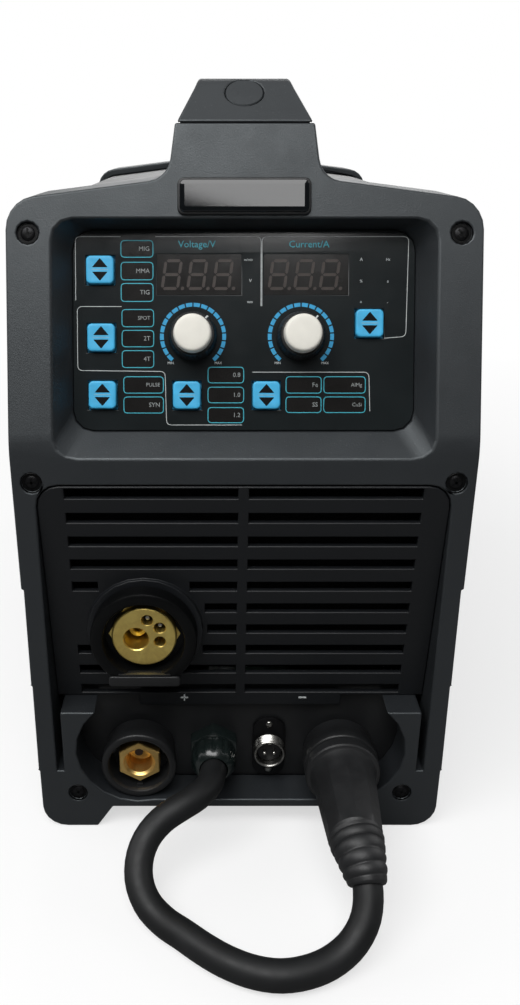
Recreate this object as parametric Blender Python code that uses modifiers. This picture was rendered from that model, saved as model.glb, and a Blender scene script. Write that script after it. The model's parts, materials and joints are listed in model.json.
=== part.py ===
"""Portable inverter MIG welder with its polarity lead.

Metres. X is right as seen from the front, Y runs back from the lower front
plane, Z is up from the feet. The finished model is shifted along Y so that
its origin lies under its middle.
"""
import math

import bmesh
import bpy
from mathutils import Matrix, Vector

# ---------------------------------------------------------------- clearances
CLEAR = 0.0003            # between pieces that seat on each other
CUT = 0.002               # how far a cutter runs past the face it opens

# ---------------------------------------------------------------- case
CASE_WIDTH = 0.1995
CASE_DEPTH = 0.400
ROOF_Z = 0.307
ROOF_FLAT = 0.064         # level middle of the roof, which carries the tongue
ROOF_SLOPE = math.radians(7.0)
TONGUE_ROOT = 0.010       # radius where the tongue meets the roof
SHOULDER_RADIUS = 0.013
SIDE_WALL = 0.0045
FACE_WALL = 0.003
BEZEL_DEPTH = 0.075
REAR_DEPTH = 0.045
REAR_CHAMFER = 0.014
FOOT_HEIGHT = 0.012
FOOT_GAP = 0.127          # between the feet, left to right
FOOT_CHAMFER = 0.008
FOOT_RADIUS = 0.012
SIDE_STEPS = (0.034, 0.083, 0.134)   # heights of the shingled side steps
STEP_DEPTH = 0.0011
STEP_FLARE = 0.0005

# ---------------------------------------------------------------- front face
BEND_Z = 0.201            # the upper face leans back above this height
LEAN = math.radians(18.9)
BEND_RADIUS = 0.040
GRILLE_TOP = 0.1845
GRILLE_HALF = 0.090
GRILLE_CORNER = 0.010
GRILLE_LEAN = math.radians(7.3)
GRILLE_THICK = 0.003
GRILLE_LIP = 0.006        # the grille's middle hangs below its ends by this
BLOCK_TOP = 0.068
SLOT_ROWS = 10
SLOT_PITCH = 0.012
SLOT_FIRST_Z = 0.1828 - 0.0025
SLOT_HEIGHT = 0.005
SLOT_LENGTH = 0.0753
SLOT_RIB = 0.0047
SIDE_SLOT = 0.0034
SIDE_SLOT_FOOT = 0.034
FACE_SCREWS = ((0.0905, 0.286), (0.0912, 0.1855), (0.0805, 0.0206))
FACE_SCREW_HOLE = 0.0093
FACE_SCREW_DEPTH = 0.0015

# ---------------------------------------------------------------- handle
TONGUE_FRONT = 0.043
TONGUE_RISE = 0.0213      # from the roof up to the seam with the handle
TONGUE_TOP = 0.058
GRIP_WIDTH = 0.0395
GRIP_RISE = 0.0182        # from that seam to the top of the grip
GRIP_THICK = 0.0142
NOSE_RUN = 0.021          # the sloping nose: how far back and how far up
NOSE_RISE = 0.0174
SCREW_SEAT_RADIUS = 0.0085
SCREW_SEAT_DEPTH = 0.0016
SCREW_SEAT_PLACE = 0.68   # along the nose's slope

# ---------------------------------------------------------------- control panel
POCKET_DEPTH = 0.012
POCKET_HALF = 0.081
POCKET_FOOT = -0.010      # along the leaning face, from the panel's datum
POCKET_HEAD = 0.092
PANEL_DATUM_Z = 0.2046    # height on the leaning face of the panel's datum
PANEL_HALF = 0.074
PANEL_FOOT = 0.004
PANEL_HEAD = 0.0905
PANEL_THICK = 0.002
PANEL_RADIUS = 0.009
TUB_WALL = 0.0025
LEDGE = 0.004
BUTTON = 0.012
BUTTON_PROUD = 0.0022
BUTTON_TRAVEL = 0.001
BUTTON_RIM = 0.0012       # the flange that holds a button behind the panel
BUTTONS = {"mode_button": (-0.0617, 0.0730), "trigger_button": (-0.0614, 0.0442),
           "pulse_button": (-0.0610, 0.01965), "wire_button": (-0.0246, 0.0195),
           "function_button": (0.0098, 0.0195), "display_button": (0.0541, 0.0503)}
KNOBS = {"voltage": -0.0219, "current": 0.0247}
KNOB_UP = 0.0449
KNOB_RADIUS = 0.0105
KNOB_HEIGHT = 0.0085
CAP_RADIUS = 0.0082
CAP_HEIGHT = 0.0055
SHAFT_RADIUS = 0.003
BUSH_RADIUS = 0.0045
DISPLAYS = {"voltage": -0.0192, "current": 0.0268}
DISPLAY_UP = 0.0712
DISPLAY_WIDTH = 0.0355
DISPLAY_HEIGHT = 0.0165
DISPLAY_DEPTH = 0.0062
BOARD_BEHIND = 0.008      # from the panel's face to the board behind it
BOARD_THICK = 0.0016
BOARD_POST_UP = 0.0586    # between two buttons, along the panel

# ---------------------------------------------------------------- connectors
CONNECTOR_Z = 0.035
RECESS_X = 0.050
RECESS_Z = 0.0455
RECESS_RADIUS = 0.030
RECESS_FLOOR = 0.0165
CONNECTOR_PLATE = 0.0025
SOCKET_X = 0.050
SOCKET_RADIUS = 0.0185
SOCKET_BORE = 0.0145
SOCKET_FRONT = 0.002
CONTACT_FRONT = 0.0055
CONTACT_FLATS = 0.020
CONTACT_BORE = 0.0066
STUD_RADIUS = 0.006
STUD_LENGTH = 0.018
GLAND_X = -0.013
GLAND_FLATS = 0.023
GLAND_NUT = 0.007
GLAND_FRONT = 0.0005
REMOTE_X = 0.015
REMOTE_RADIUS = 0.0085
REMOTE_LENGTH = 0.0095
EURO_X = -0.045
EURO_Z = 0.110
EURO_FLANGE_RADIUS = 0.0245
EURO_FLANGE_FRONT = -0.005
EURO_FLANGE_THICK = 0.009
EURO_RADIUS = 0.015
EURO_FRONT = -0.0005
EURO_FLATS = 0.034
EURO_BACK = 0.062
EURO_MAIN = (-0.0037, -0.0011, 0.0057)     # across, up, radius
EURO_PORTS = ((0.0016, 0.0087), (0.0073, 0.0048), (0.0072, -0.0024))
EURO_PORT_RADIUS = 0.0026
GUIDE_BORE = 0.0014
PAD_RADIUS = 0.027

# ---------------------------------------------------------------- polarity lead
LEAD_RADIUS = 0.0065
PLUG_NOSE_RADIUS = 0.0142
PLUG_PIN_RADIUS = 0.0062
PLUG_BODY_RADIUS = 0.0150
PLUG_BODY_END = -0.046    # Y where the plug's rigid body ends
LEAD_ROUTE = (
    (-0.0130, 0.0000, 0.0350), (-0.0148, -0.0100, 0.0349), (-0.0206, -0.0189, 0.0345),
    (-0.0285, -0.0247, 0.0331), (-0.0366, -0.0291, 0.0299), (-0.0432, -0.0349, 0.0251),
    (-0.0466, -0.0424, 0.0196), (-0.0463, -0.0508, 0.0141), (-0.0421, -0.0590, 0.0094),
    (-0.0346, -0.0663, 0.0068), (-0.0259, -0.0732, 0.0067), (-0.0171, -0.0804, 0.0067),
    (-0.0076, -0.0868, 0.0067), (0.0031, -0.0916, 0.0067), (0.0143, -0.0935, 0.0067),
    (0.0256, -0.0917, 0.0067), (0.0361, -0.0874, 0.0076), (0.0452, -0.0818, 0.0115),
    (0.0511, -0.0753, 0.0184), (0.0528, -0.0673, 0.0262), (0.0514, -0.0575, 0.0325),
    (0.0500, -0.0460, 0.0350))
BOOT_SPAN = 0.030         # length of the plug's flexible boot along the lead
BOOT_RADIUS = 0.0122
BOOT_TIP = 0.0098
BOOT_RIDGES = 4

# ---------------------------------------------------------------- sheet metal
SHEET = 0.0012
COVER_LAP = 0.010         # how far the cover runs inside each moulding
TRAY_Z = FOOT_HEIGHT + FACE_WALL + CLEAR
TRAY_FLANGE = 0.017
HINGE_DROP = 0.0147       # from the roof's line at the case's side to the hinge axis
HINGE_IN = 0.040          # from each moulding to the middle of its hinge
HINGE_OUT = 0.0005        # hinge axis outside the sheet's face
KNUCKLE_RADIUS = 0.0038
KNUCKLE_LENGTH = 0.012
PIN_RADIUS = 0.0015
DOOR_FOOT_Z = 0.019
DOOR_GAP = 0.0008
BEAD = 0.0012             # height of the pressed panel in door and cover
BEAD_FOOT = 0.062
BEAD_DROP = 0.022         # from the hinge axis down to the pressed panel
LATCH_IN = 0.050          # from each moulding to its latch
LATCH_Z = 0.046
LATCH_RADIUS = 0.0085
LATCH_SHAFT = 0.003
PARTITION_X = -0.0165
VENT_ROWS = 7
VENT_COLUMNS = 2
VENT_PITCH = 0.011
VENT_LENGTH = 0.075
VENT_HEIGHT = 0.004
VENT_Z = 0.090

# ---------------------------------------------------------------- wire feed
SPOOL_AHEAD = 0.153       # from the rear face to the reel's axle
SPOOL_Z = 0.170
SPOOL_RADIUS = 0.099
SPOOL_WIDTH = 0.055
SPOOL_FLANGE = 0.0025
SPOOL_BORE = 0.0255
SPOOL_CORE = 0.052
WIRE_SHORT = 0.019        # how far the winding stays inside the flanges
WINDOW_SHORT = 0.010      # and the windows in the outer flange
HUB_FLANGE = 0.005
ROLL_Y = 0.100
ROLL_RADIUS = 0.015
ROLL_WIDTH = 0.010
PRESS_RADIUS = 0.011
ARM_PIVOT = (0.138, 0.132)
ARM_THICK = 0.006
FEED_PLATE = 0.012
MOTOR_RADIUS = 0.024
MOTOR_LENGTH = 0.036
DRIVE_SHAFT = 0.004

# ---------------------------------------------------------------- rear
FAN_IN = 0.00725          # from the case's inner side to the fan's frame
FAN_Z = 0.112
FAN_SIZE = 0.092
FAN_DEPTH = 0.024
FAN_BORE = 0.043
FAN_BLADES = 7
FAN_HUB = 0.018
GUARD_THICK = 0.0018
SWITCH_X = -0.045
SWITCH_Z = 0.245
SWITCH_WIDTH = 0.022
SWITCH_HEIGHT = 0.030
ROCKER_ANGLE = math.radians(9)
MAINS_X = 0.045
MAINS_Z = 0.245
MAINS_RADIUS = 0.010
GAS_IN = 0.03975          # from the case's left side
GAS_Z = 0.050
GAS_RADIUS = 0.006

# Worked out from the sizes above.
HALF = CASE_WIDTH / 2
REAR_FRONT = CASE_DEPTH - REAR_DEPTH
SEAM_Z = ROOF_Z + TONGUE_RISE
GRIP_TOP = SEAM_Z + GRIP_RISE
HINGE_Y = (BEZEL_DEPTH + HINGE_IN, REAR_FRONT - HINGE_IN)
LATCH_Y = (BEZEL_DEPTH + LATCH_IN, REAR_FRONT - LATCH_IN)
SPOOL_Y = CASE_DEPTH - SPOOL_AHEAD
HINGE_Z = ROOF_Z - (HALF - ROOF_FLAT / 2) * math.tan(ROOF_SLOPE) - HINGE_DROP
BEAD_Z = (BEAD_FOOT, HINGE_Z - BEAD_DROP)
WIRE_RADIUS = SPOOL_RADIUS - WIRE_SHORT
FAN_X = HALF - SIDE_WALL - FAN_IN - FAN_SIZE / 2
GAS_X = -(HALF - GAS_IN)
MIRROR_Y = (BEZEL_DEPTH + REAR_FRONT) / 2
BLOCK_BOTTOM_LIP = BLOCK_TOP - GRILLE_LIP
BLOCK_DEPTH = ((GRILLE_TOP - BLOCK_BOTTOM_LIP) * math.tan(GRILLE_LEAN)
               + GRILLE_THICK / math.cos(GRILLE_LEAN) + 2 * CLEAR)
SHEET_X = HALF - SIDE_WALL - CLEAR          # outer face of cover and door
HINGE_X = -(SHEET_X + HINGE_OUT)
INNER_X = SHEET_X - SHEET - CLEAR           # outer face of the tray's flanges
WIRE_X = EURO_X + EURO_MAIN[0]
WIRE_Z = EURO_Z + EURO_MAIN[1]
SPOOL_X = PARTITION_X - SHEET - CLEAR - HUB_FLANGE - 2 * CLEAR   # inner face of the spool

FRONT = Matrix.Rotation(math.radians(90), 4, "X")          # local +Z faces forward
BACK = Matrix.Rotation(math.radians(180), 4, "Z") @ FRONT  # local +Z faces backward
SIDEWAYS = Matrix.Rotation(math.radians(90), 4, "Z") @ FRONT  # local X, Y, Z run Y, Z, X
LEFTWARD = Matrix.Rotation(math.radians(-90), 4, "Z") @ FRONT  # local +Z faces -X

# Pieces whose oblique faces the exact solver leaves open.
MANIFOLD_PIECES = ("front_grille",)

parts = None
cutters = None
root = None


# ---------------------------------------------------------------- outlines
def arc(cx, cy, radius, start, end, steps):
    """Points on an arc, angles in degrees."""
    turns = [math.radians(start + (end - start) * i / steps) for i in range(steps + 1)]
    return [(cx + radius * math.cos(a), cy + radius * math.sin(a)) for a in turns]


def circle(cx, cy, radius, steps=20):
    return arc(cx, cy, radius, 0, 360, steps)[:-1]


def filleted(points, steps=4):
    """A closed outline whose corners (x, y, radius) are rounded."""
    outline = []
    count = len(points)
    for i, point in enumerate(points):
        radius = point[2] if len(point) > 2 else 0.0
        here = Vector(point[:2])
        if radius <= 0:
            outline.append(tuple(here))
            continue
        before = (Vector(points[i - 1][:2]) - here).normalized()
        after = (Vector(points[(i + 1) % count][:2]) - here).normalized()
        half_angle = before.angle(after) / 2
        reach = radius / math.tan(half_angle)
        centre = here + (before + after).normalized() * radius / math.sin(half_angle)
        first = here + before * reach - centre
        sweep = first.angle_signed(here + after * reach - centre)
        for step in range(steps + 1):
            turn = Matrix.Rotation(-sweep * step / steps, 2)
            outline.append(tuple(centre + turn @ first))
    return outline


def rectangle(x0, x1, y0, y1, radius=0.0, steps=3):
    corners = [(x0, y0), (x1, y0), (x1, y1), (x0, y1)]
    return filleted([corner + (radius,) for corner in corners], steps)


def mirrored(right_half):
    """Close a right half, listed upwards from the middle, with its mirror image."""
    left_half = [(-point[0],) + tuple(point[1:]) for point in reversed(right_half)]
    if abs(right_half[0][0]) < 1e-9:
        left_half = left_half[:-1]
    if abs(right_half[-1][0]) < 1e-9:
        left_half = left_half[1:]
    return list(right_half) + left_half


def roof_height(x, inset=0.0):
    run = max(0.0, abs(x) - ROOF_FLAT / 2)
    return ROOF_Z - inset - run * math.tan(ROOF_SLOPE)


def case_outline(inset=0.0, feet=True, tongue=False):
    """The case seen from the front: feet, shingled sides, shoulders and tongue."""
    side = HALF - inset
    if feet:
        half = [(0, FOOT_HEIGHT), (FOOT_GAP / 2, FOOT_HEIGHT), (FOOT_GAP / 2 + FOOT_CHAMFER, 0),
                (side - STEP_DEPTH, 0, FOOT_RADIUS)]
        for height in SIDE_STEPS[:-1]:
            half += [(side - STEP_DEPTH, height), (side - STEP_DEPTH + STEP_FLARE, height)]
        half += [(side - STEP_DEPTH, SIDE_STEPS[-1]), (side, SIDE_STEPS[-1])]
    else:
        half = [(0, FOOT_HEIGHT + FACE_WALL), (side, FOOT_HEIGHT + FACE_WALL)]
    radius = max(SHOULDER_RADIUS - inset, 0.002)
    half.append((side, roof_height(side, inset), radius))
    half.append((ROOF_FLAT / 2, ROOF_Z - inset, TONGUE_ROOT if tongue else 0.0))
    if tongue:
        half += [(TONGUE_TOP / 2, SEAM_Z), (0, SEAM_Z)]
    else:
        half.append((0, ROOF_Z - inset))
    return filleted(mirrored(half), 5 if tongue else 3)


def hexagon(flats, point_up=True):
    turn = 90 if point_up else 0
    return arc(0, 0, flats / math.sqrt(3), turn, turn + 360, 6)[:-1]


# ---------------------------------------------------------------- meshes
def plate_mesh(name, loops, low, high):
    """A flat outline with holes, standing from low to high along local Z."""
    curve = bpy.data.curves.new(name, "CURVE")
    curve.dimensions = "2D"
    curve.fill_mode = "BOTH"
    curve.extrude = (high - low) / 2
    for loop in loops:
        spline = curve.splines.new("POLY")
        spline.points.add(len(loop) - 1)
        for point, (x, y) in zip(spline.points, loop):
            point.co = (x, y, 0, 1)
        spline.use_cyclic_u = True
    holder = bpy.data.objects.new(name, curve)
    mesh = bpy.data.meshes.new_from_object(holder)
    bpy.data.objects.remove(holder)
    mesh.transform(Matrix.Translation((0, 0, (low + high) / 2)))
    weld(mesh)
    return mesh


def weld(mesh, distance=2e-6):
    bm = bmesh.new()
    bm.from_mesh(mesh)
    bmesh.ops.remove_doubles(bm, verts=bm.verts, dist=distance)
    bmesh.ops.recalc_face_normals(bm, faces=bm.faces)
    bm.to_mesh(mesh)
    bm.free()


def merged(name, meshes):
    """Several separate closed shapes in one mesh, for a cutter or before a union."""
    bm = bmesh.new()
    for mesh in meshes:
        bm.from_mesh(mesh)
    result = bpy.data.meshes.new(name)
    bm.to_mesh(result)
    bm.free()
    return result


def moved(mesh, x=0.0, y=0.0, z=0.0, turn=None):
    mesh.transform(Matrix.Translation((x, y, z)) @ (turn or Matrix()))
    return mesh


def box_mesh(name, x0, x1, y0, y1, z0, z1):
    bm = bmesh.new()
    size = Matrix.Diagonal((x1 - x0, y1 - y0, z1 - z0, 1))
    middle = Matrix.Translation(((x0 + x1) / 2, (y0 + y1) / 2, (z0 + z1) / 2))
    bmesh.ops.create_cube(bm, size=1.0, matrix=middle @ size)
    mesh = bpy.data.meshes.new(name)
    bm.to_mesh(mesh)
    bm.free()
    return mesh


def rod_mesh(name, radius, low, high, steps=20, tip=None):
    """A cylinder or cone along local Z."""
    bm = bmesh.new()
    bmesh.ops.create_cone(bm, cap_ends=True, segments=steps, radius1=radius,
                          radius2=radius if tip is None else tip, depth=high - low,
                          matrix=Matrix.Translation((0, 0, (low + high) / 2)))
    mesh = bpy.data.meshes.new(name)
    bm.to_mesh(mesh)
    bm.free()
    return mesh


def loft_mesh(name, first, second, low, high):
    """A closed body between two outlines with the same number of points."""
    bm = bmesh.new()
    rings = []
    for outline, height in ((first, low), (second, high)):
        verts = [bm.verts.new((x, y, height)) for x, y in outline]
        rings.append([bm.edges.new((verts[i - 1], verts[i])) for i in range(len(verts))])
        bm.faces.new(verts)
    bmesh.ops.bridge_loops(bm, edges=rings[0] + rings[1])
    bmesh.ops.recalc_face_normals(bm, faces=bm.faces)
    mesh = bpy.data.meshes.new(name)
    bm.to_mesh(mesh)
    bm.free()
    return mesh


# ---------------------------------------------------------------- objects
def material(name, colour, roughness, metallic=0.0):
    made = bpy.data.materials.get(name)
    if made is None:
        made = bpy.data.materials.new(name)
        made.use_nodes = True
        shader = made.node_tree.nodes["Principled BSDF"]
        shader.inputs["Base Color"].default_value = colour + (1.0,)
        shader.inputs["Roughness"].default_value = roughness
        shader.inputs["Metallic"].default_value = metallic
    return made


def charcoal():
    return material("charcoal_plastic", (0.035, 0.037, 0.042), 0.45)


def black_plastic():
    return material("black_plastic", (0.012, 0.012, 0.013), 0.4)


def gloss_black():
    return material("gloss_black", (0.008, 0.008, 0.009), 0.12)


def black_steel():
    return material("black_painted_steel", (0.02, 0.02, 0.022), 0.3)


def zinc():
    return material("zinc_steel", (0.6, 0.62, 0.63), 0.35, 1.0)


def brass():
    return material("brass", (0.8, 0.58, 0.22), 0.25, 1.0)


def nickel():
    return material("nickel", (0.75, 0.74, 0.7), 0.2, 1.0)


def blue_plastic():
    return material("blue_plastic", (0.08, 0.45, 0.8), 0.4)


def cream_plastic():
    return material("cream_plastic", (0.83, 0.8, 0.7), 0.35)


def black_rubber():
    return material("black_rubber", (0.015, 0.015, 0.016), 0.65)


def green_board():
    return material("green_board", (0.03, 0.2, 0.08), 0.5)


def add(name, mesh, look, place=(0, 0, 0), turn=None, parent=None):
    """A named piece of the welder."""
    piece = bpy.data.objects.new(name, mesh)
    mesh.materials.clear()
    mesh.materials.append(look)
    parts.objects.link(piece)
    piece.parent = parent or root
    piece.matrix_local = Matrix.Translation(place) @ (turn or Matrix())
    return piece


def helper(piece, mesh, place=(0, 0, 0), turn=None):
    """A cutter or joining shape, placed in the same frame as its piece."""
    shape = bpy.data.objects.new(piece.name + "_shape", mesh)
    cutters.objects.link(shape)
    shape.parent = piece.parent
    shape.matrix_local = Matrix.Translation(place) @ (turn or Matrix())
    shape.hide_render = True
    shape.display_type = "WIRE"
    return shape


def combine(piece, operation, mesh, place=(0, 0, 0), turn=None):
    """Add a Boolean with a new helper shape, which is returned."""
    shape = helper(piece, mesh, place, turn)
    change = piece.modifiers.new(operation.lower(), "BOOLEAN")
    change.operation = operation
    change.object = shape
    if piece.name in MANIFOLD_PIECES:
        change.solver = "MANIFOLD"
    return shape


def cut(piece, mesh, place=(0, 0, 0), turn=None):
    return combine(piece, "DIFFERENCE", mesh, place, turn)


def join(piece, mesh, place=(0, 0, 0), turn=None):
    return combine(piece, "UNION", mesh, place, turn)


def keep(piece, mesh, place=(0, 0, 0), turn=None):
    return combine(piece, "INTERSECT", mesh, place, turn)


def turned(name, profile, look, place=(0, 0, 0), turn=None, parent=None, steps=18, closed=False):
    """A turned piece: (radius, height) listed down the outer side, spun about local Z."""
    mesh = bpy.data.meshes.new(name)
    bm = bmesh.new()
    verts = [bm.verts.new((radius, 0, height)) for radius, height in profile]
    last = len(verts) if closed else len(verts) - 1
    for i in range(last):
        bm.edges.new((verts[i], verts[(i + 1) % len(verts)]))
    bm.to_mesh(mesh)
    bm.free()
    piece = add(name, mesh, look, place, turn, parent)
    spin = piece.modifiers.new("turned", "SCREW")
    spin.steps = steps
    spin.render_steps = steps
    spin.use_merge_vertices = True
    spin.merge_threshold = 1e-6
    return piece


def tube_mesh(name, route, radii, sides=3):
    """A bent tube along chosen points, with a radius at each point."""
    curve = bpy.data.curves.new(name, "CURVE")
    curve.dimensions = "3D"
    curve.bevel_depth = max(radii)
    curve.bevel_resolution = sides
    curve.use_fill_caps = True
    spline = curve.splines.new("POLY")
    spline.points.add(len(route) - 1)
    for point, place, radius in zip(spline.points, route, radii):
        point.co = (*place, 1)
        point.radius = radius / max(radii)
    holder = bpy.data.objects.new(name, curve)
    mesh = bpy.data.meshes.new_from_object(holder)
    bpy.data.objects.remove(holder)
    weld(mesh)
    return mesh


def shade_round_pieces():
    """Smooth shading on every piece, with its edges kept sharp."""
    for piece in parts.objects:
        if piece.type == "MESH" and piece.data.polygons:
            piece.data.shade_smooth()
            piece.data.set_sharp_from_angle(angle=math.radians(35))


# ---------------------------------------------------------------- front bezel
def lean_y(z, offset=0.0):
    """Y of the leaning face at a height, moved in by an offset square to it."""
    return (z - BEND_Z) * math.tan(LEAN) + offset / math.cos(LEAN)


def panel_frame():
    """An empty on the control panel's face: local X right, Y up the lean, Z outward."""
    place = Vector((0, lean_y(PANEL_DATUM_Z), PANEL_DATUM_Z))
    inward = Vector((0, math.cos(LEAN), -math.sin(LEAN)))
    frame = bpy.data.objects.new("panel_frame", None)
    parts.objects.link(frame)
    frame.parent = root
    frame.matrix_local = (Matrix.Translation(place + inward * POCKET_DEPTH)
                          @ Matrix.Rotation(math.radians(90) - LEAN, 4, "X"))
    return frame


def bezel_profile():
    """The bezel's side view, (Y, Z): upright face, bend, leaning face and tongue."""
    roof_y = lean_y(ROOF_Z)
    past = (SEAM_Z + CUT - ROOF_Z) / (SEAM_Z - ROOF_Z)
    points = [(0, -CUT), (BEZEL_DEPTH, -CUT), (BEZEL_DEPTH, SEAM_Z + CUT),
              (roof_y + (TONGUE_FRONT - roof_y) * past, SEAM_Z + CUT),
              (roof_y, ROOF_Z), (0, BEND_Z, BEND_RADIUS)]
    return filleted(points, 4)


def hollow_profile():
    """The hollow behind the face: shallow above the grille, deep beside it."""
    shelf = GRILLE_TOP + FACE_WALL
    head = ROOF_Z
    return [(BLOCK_DEPTH, 0), (BEZEL_DEPTH + CUT, 0), (BEZEL_DEPTH + CUT, head),
            (lean_y(head, FACE_WALL), head), (FACE_WALL, BEND_Z), (FACE_WALL, shelf),
            (BLOCK_DEPTH, shelf)]


def face_opening():
    """The grille opening, its side slots and the rounded connector recess, in one outline."""
    rise = BLOCK_TOP - RECESS_Z
    drop = RECESS_Z - RECESS_FLOOR
    start = math.degrees(math.asin(rise / RECESS_RADIUS))
    end = -180 + math.degrees(math.asin(drop / RECESS_RADIUS))
    half = [(0, RECESS_FLOOR)]
    half += arc(RECESS_X, RECESS_Z, RECESS_RADIUS, end, start, 9)
    half += [(GRILLE_HALF - SIDE_SLOT, BLOCK_TOP), (GRILLE_HALF - SIDE_SLOT, SIDE_SLOT_FOOT),
             (GRILLE_HALF, SIDE_SLOT_FOOT), (GRILLE_HALF, GRILLE_TOP, GRILLE_CORNER),
             (0, GRILLE_TOP)]
    return filleted(mirrored(half))


def front_bezel(frame):
    outer = plate_mesh("front_bezel", [case_outline(tongue=True)], -BEZEL_DEPTH - CUT, CUT)
    bezel = add("front_bezel", outer, charcoal(), turn=FRONT)
    keep(bezel, plate_mesh("side", [bezel_profile()], -HALF - CUT, HALF + CUT), turn=SIDEWAYS)

    inside = case_outline(inset=SIDE_WALL, feet=False)
    hollow = cut(bezel, plate_mesh("hollow", [inside], -BEZEL_DEPTH - 2 * CUT, 0), turn=FRONT)
    keep(hollow, plate_mesh("hollow_side", [hollow_profile()], -HALF, HALF), turn=SIDEWAYS)
    wall = TUB_WALL
    tub_front = rectangle(-POCKET_HALF - wall, POCKET_HALF + wall, POCKET_FOOT - wall,
                          POCKET_HEAD + wall, PANEL_RADIUS + wall)
    tub_back = rectangle(-PANEL_HALF - wall, PANEL_HALF + wall, PANEL_FOOT - wall,
                         PANEL_HEAD + wall, PANEL_RADIUS + wall)
    tub_floor = -PANEL_THICK - CLEAR
    tub = loft_mesh("tub", tub_back, tub_front, tub_floor - wall, POCKET_DEPTH)
    shape = bpy.data.objects.new("tub_shape", tub)
    cutters.objects.link(shape)
    shape.parent = frame
    shape.hide_render = True
    shape.display_type = "WIRE"
    leave = hollow.modifiers.new("tub", "BOOLEAN")
    leave.operation = "DIFFERENCE"
    leave.object = shape

    pocket_front = rectangle(-POCKET_HALF, POCKET_HALF, POCKET_FOOT, POCKET_HEAD, PANEL_RADIUS)
    pocket_back = rectangle(-PANEL_HALF, PANEL_HALF, PANEL_FOOT, PANEL_HEAD, PANEL_RADIUS)
    reach = (POCKET_DEPTH + CUT) / POCKET_DEPTH
    pocket_front = [(bx + (fx - bx) * reach, by + (fy - by) * reach)
                    for (fx, fy), (bx, by) in zip(pocket_front, pocket_back)]
    pocket = loft_mesh("pocket", pocket_back, pocket_front, 0, POCKET_DEPTH + CUT)
    seat = plate_mesh("seat", [pocket_back], tub_floor, CUT / 4)
    window = plate_mesh("window", [rectangle(-PANEL_HALF + LEDGE, PANEL_HALF - LEDGE,
                                             PANEL_FOOT + LEDGE, PANEL_HEAD - LEDGE,
                                             PANEL_RADIUS - LEDGE)],
                        tub_floor - wall - CUT, tub_floor + CUT / 4)
    for mesh in (pocket, seat, window):
        shape = cut(bezel, mesh)
        shape.parent = frame

    cut(bezel, plate_mesh("opening", [face_opening()], -BLOCK_DEPTH - CUT, CUT), turn=FRONT)
    holes = []
    for x, z in FACE_SCREWS:
        y = max(0.0, lean_y(z))
        tilt = Matrix.Rotation(-LEAN if z > BEND_Z else 0.0, 4, "X") @ FRONT
        for side in (-1, 1):
            hole = rod_mesh("hole", FACE_SCREW_HOLE / 2, -FACE_SCREW_DEPTH, CUT, 12)
            holes.append(moved(hole, side * x, y, z, tilt))
    cut(bezel, merged("screw_holes", holes))
    return bezel


def front_grille():
    """A leaning plate with two columns of slots and a pad round the torch connector."""
    length = 1 / math.cos(GRILLE_LEAN)
    foot = (BLOCK_TOP + CLEAR - GRILLE_TOP) * length
    lip = (BLOCK_BOTTOM_LIP - GRILLE_TOP) * length
    half = GRILLE_HALF - CLEAR
    head = -CLEAR - GRILLE_THICK * math.tan(GRILLE_LEAN)
    lip_half = RECESS_X - CLEAR
    outline = filleted(mirrored([(0, lip), (lip_half, lip), (lip_half, foot), (half, foot),
                                 (half, head, GRILLE_CORNER), (0, head)]))
    euro_up = (EURO_Z - GRILLE_TOP) * length
    keep_out = PAD_RADIUS + 0.002
    slots = []
    for row in range(SLOT_ROWS):
        middle = (SLOT_FIRST_Z - row * SLOT_PITCH - GRILLE_TOP) * length
        low, high = middle - SLOT_HEIGHT / 2, middle + SLOT_HEIGHT / 2
        for side in (-1, 1):
            inner, outer = side * SLOT_RIB / 2, side * (SLOT_RIB / 2 + SLOT_LENGTH)
            left, right = sorted((inner, outer))
            near = max(0.0, abs(middle - euro_up) - SLOT_HEIGHT / 2)
            if side < 0 and near < keep_out:
                reach = math.sqrt(keep_out ** 2 - near ** 2)
                spans = [(left, EURO_X - reach), (EURO_X + reach, right)]
            else:
                spans = [(left, right)]
            for start, end in spans:
                if end - start > SLOT_HEIGHT:
                    slots.append(rectangle(start, end, low, high))
    recess = Matrix.Translation((0, 0, GRILLE_TOP)) @ Matrix.Rotation(GRILLE_LEAN, 4, "X")
    turn = recess.to_3x3().to_4x4() @ FRONT
    grille = add("front_grille", plate_mesh("front_grille", [outline], -GRILLE_THICK, 0),
                 charcoal(), (0, 0, GRILLE_TOP), turn)
    pad_back = (GRILLE_TOP - EURO_Z) * math.tan(GRILLE_LEAN) + GRILLE_THICK + 0.004
    pad_front = EURO_FLANGE_FRONT + EURO_FLANGE_THICK + CLEAR
    join(grille, rod_mesh("pad", PAD_RADIUS, -pad_back, -pad_front, 24),
         (EURO_X, 0, EURO_Z), FRONT)
    cut(grille, plate_mesh("slots", slots, -GRILLE_THICK - CUT, CUT), (0, 0, GRILLE_TOP), turn)
    cut(grille, rod_mesh("pad_hole", EURO_RADIUS + CLEAR, -pad_back - CUT, -pad_front + CUT, 20),
        (EURO_X, 0, EURO_Z), FRONT)
    return grille


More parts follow.
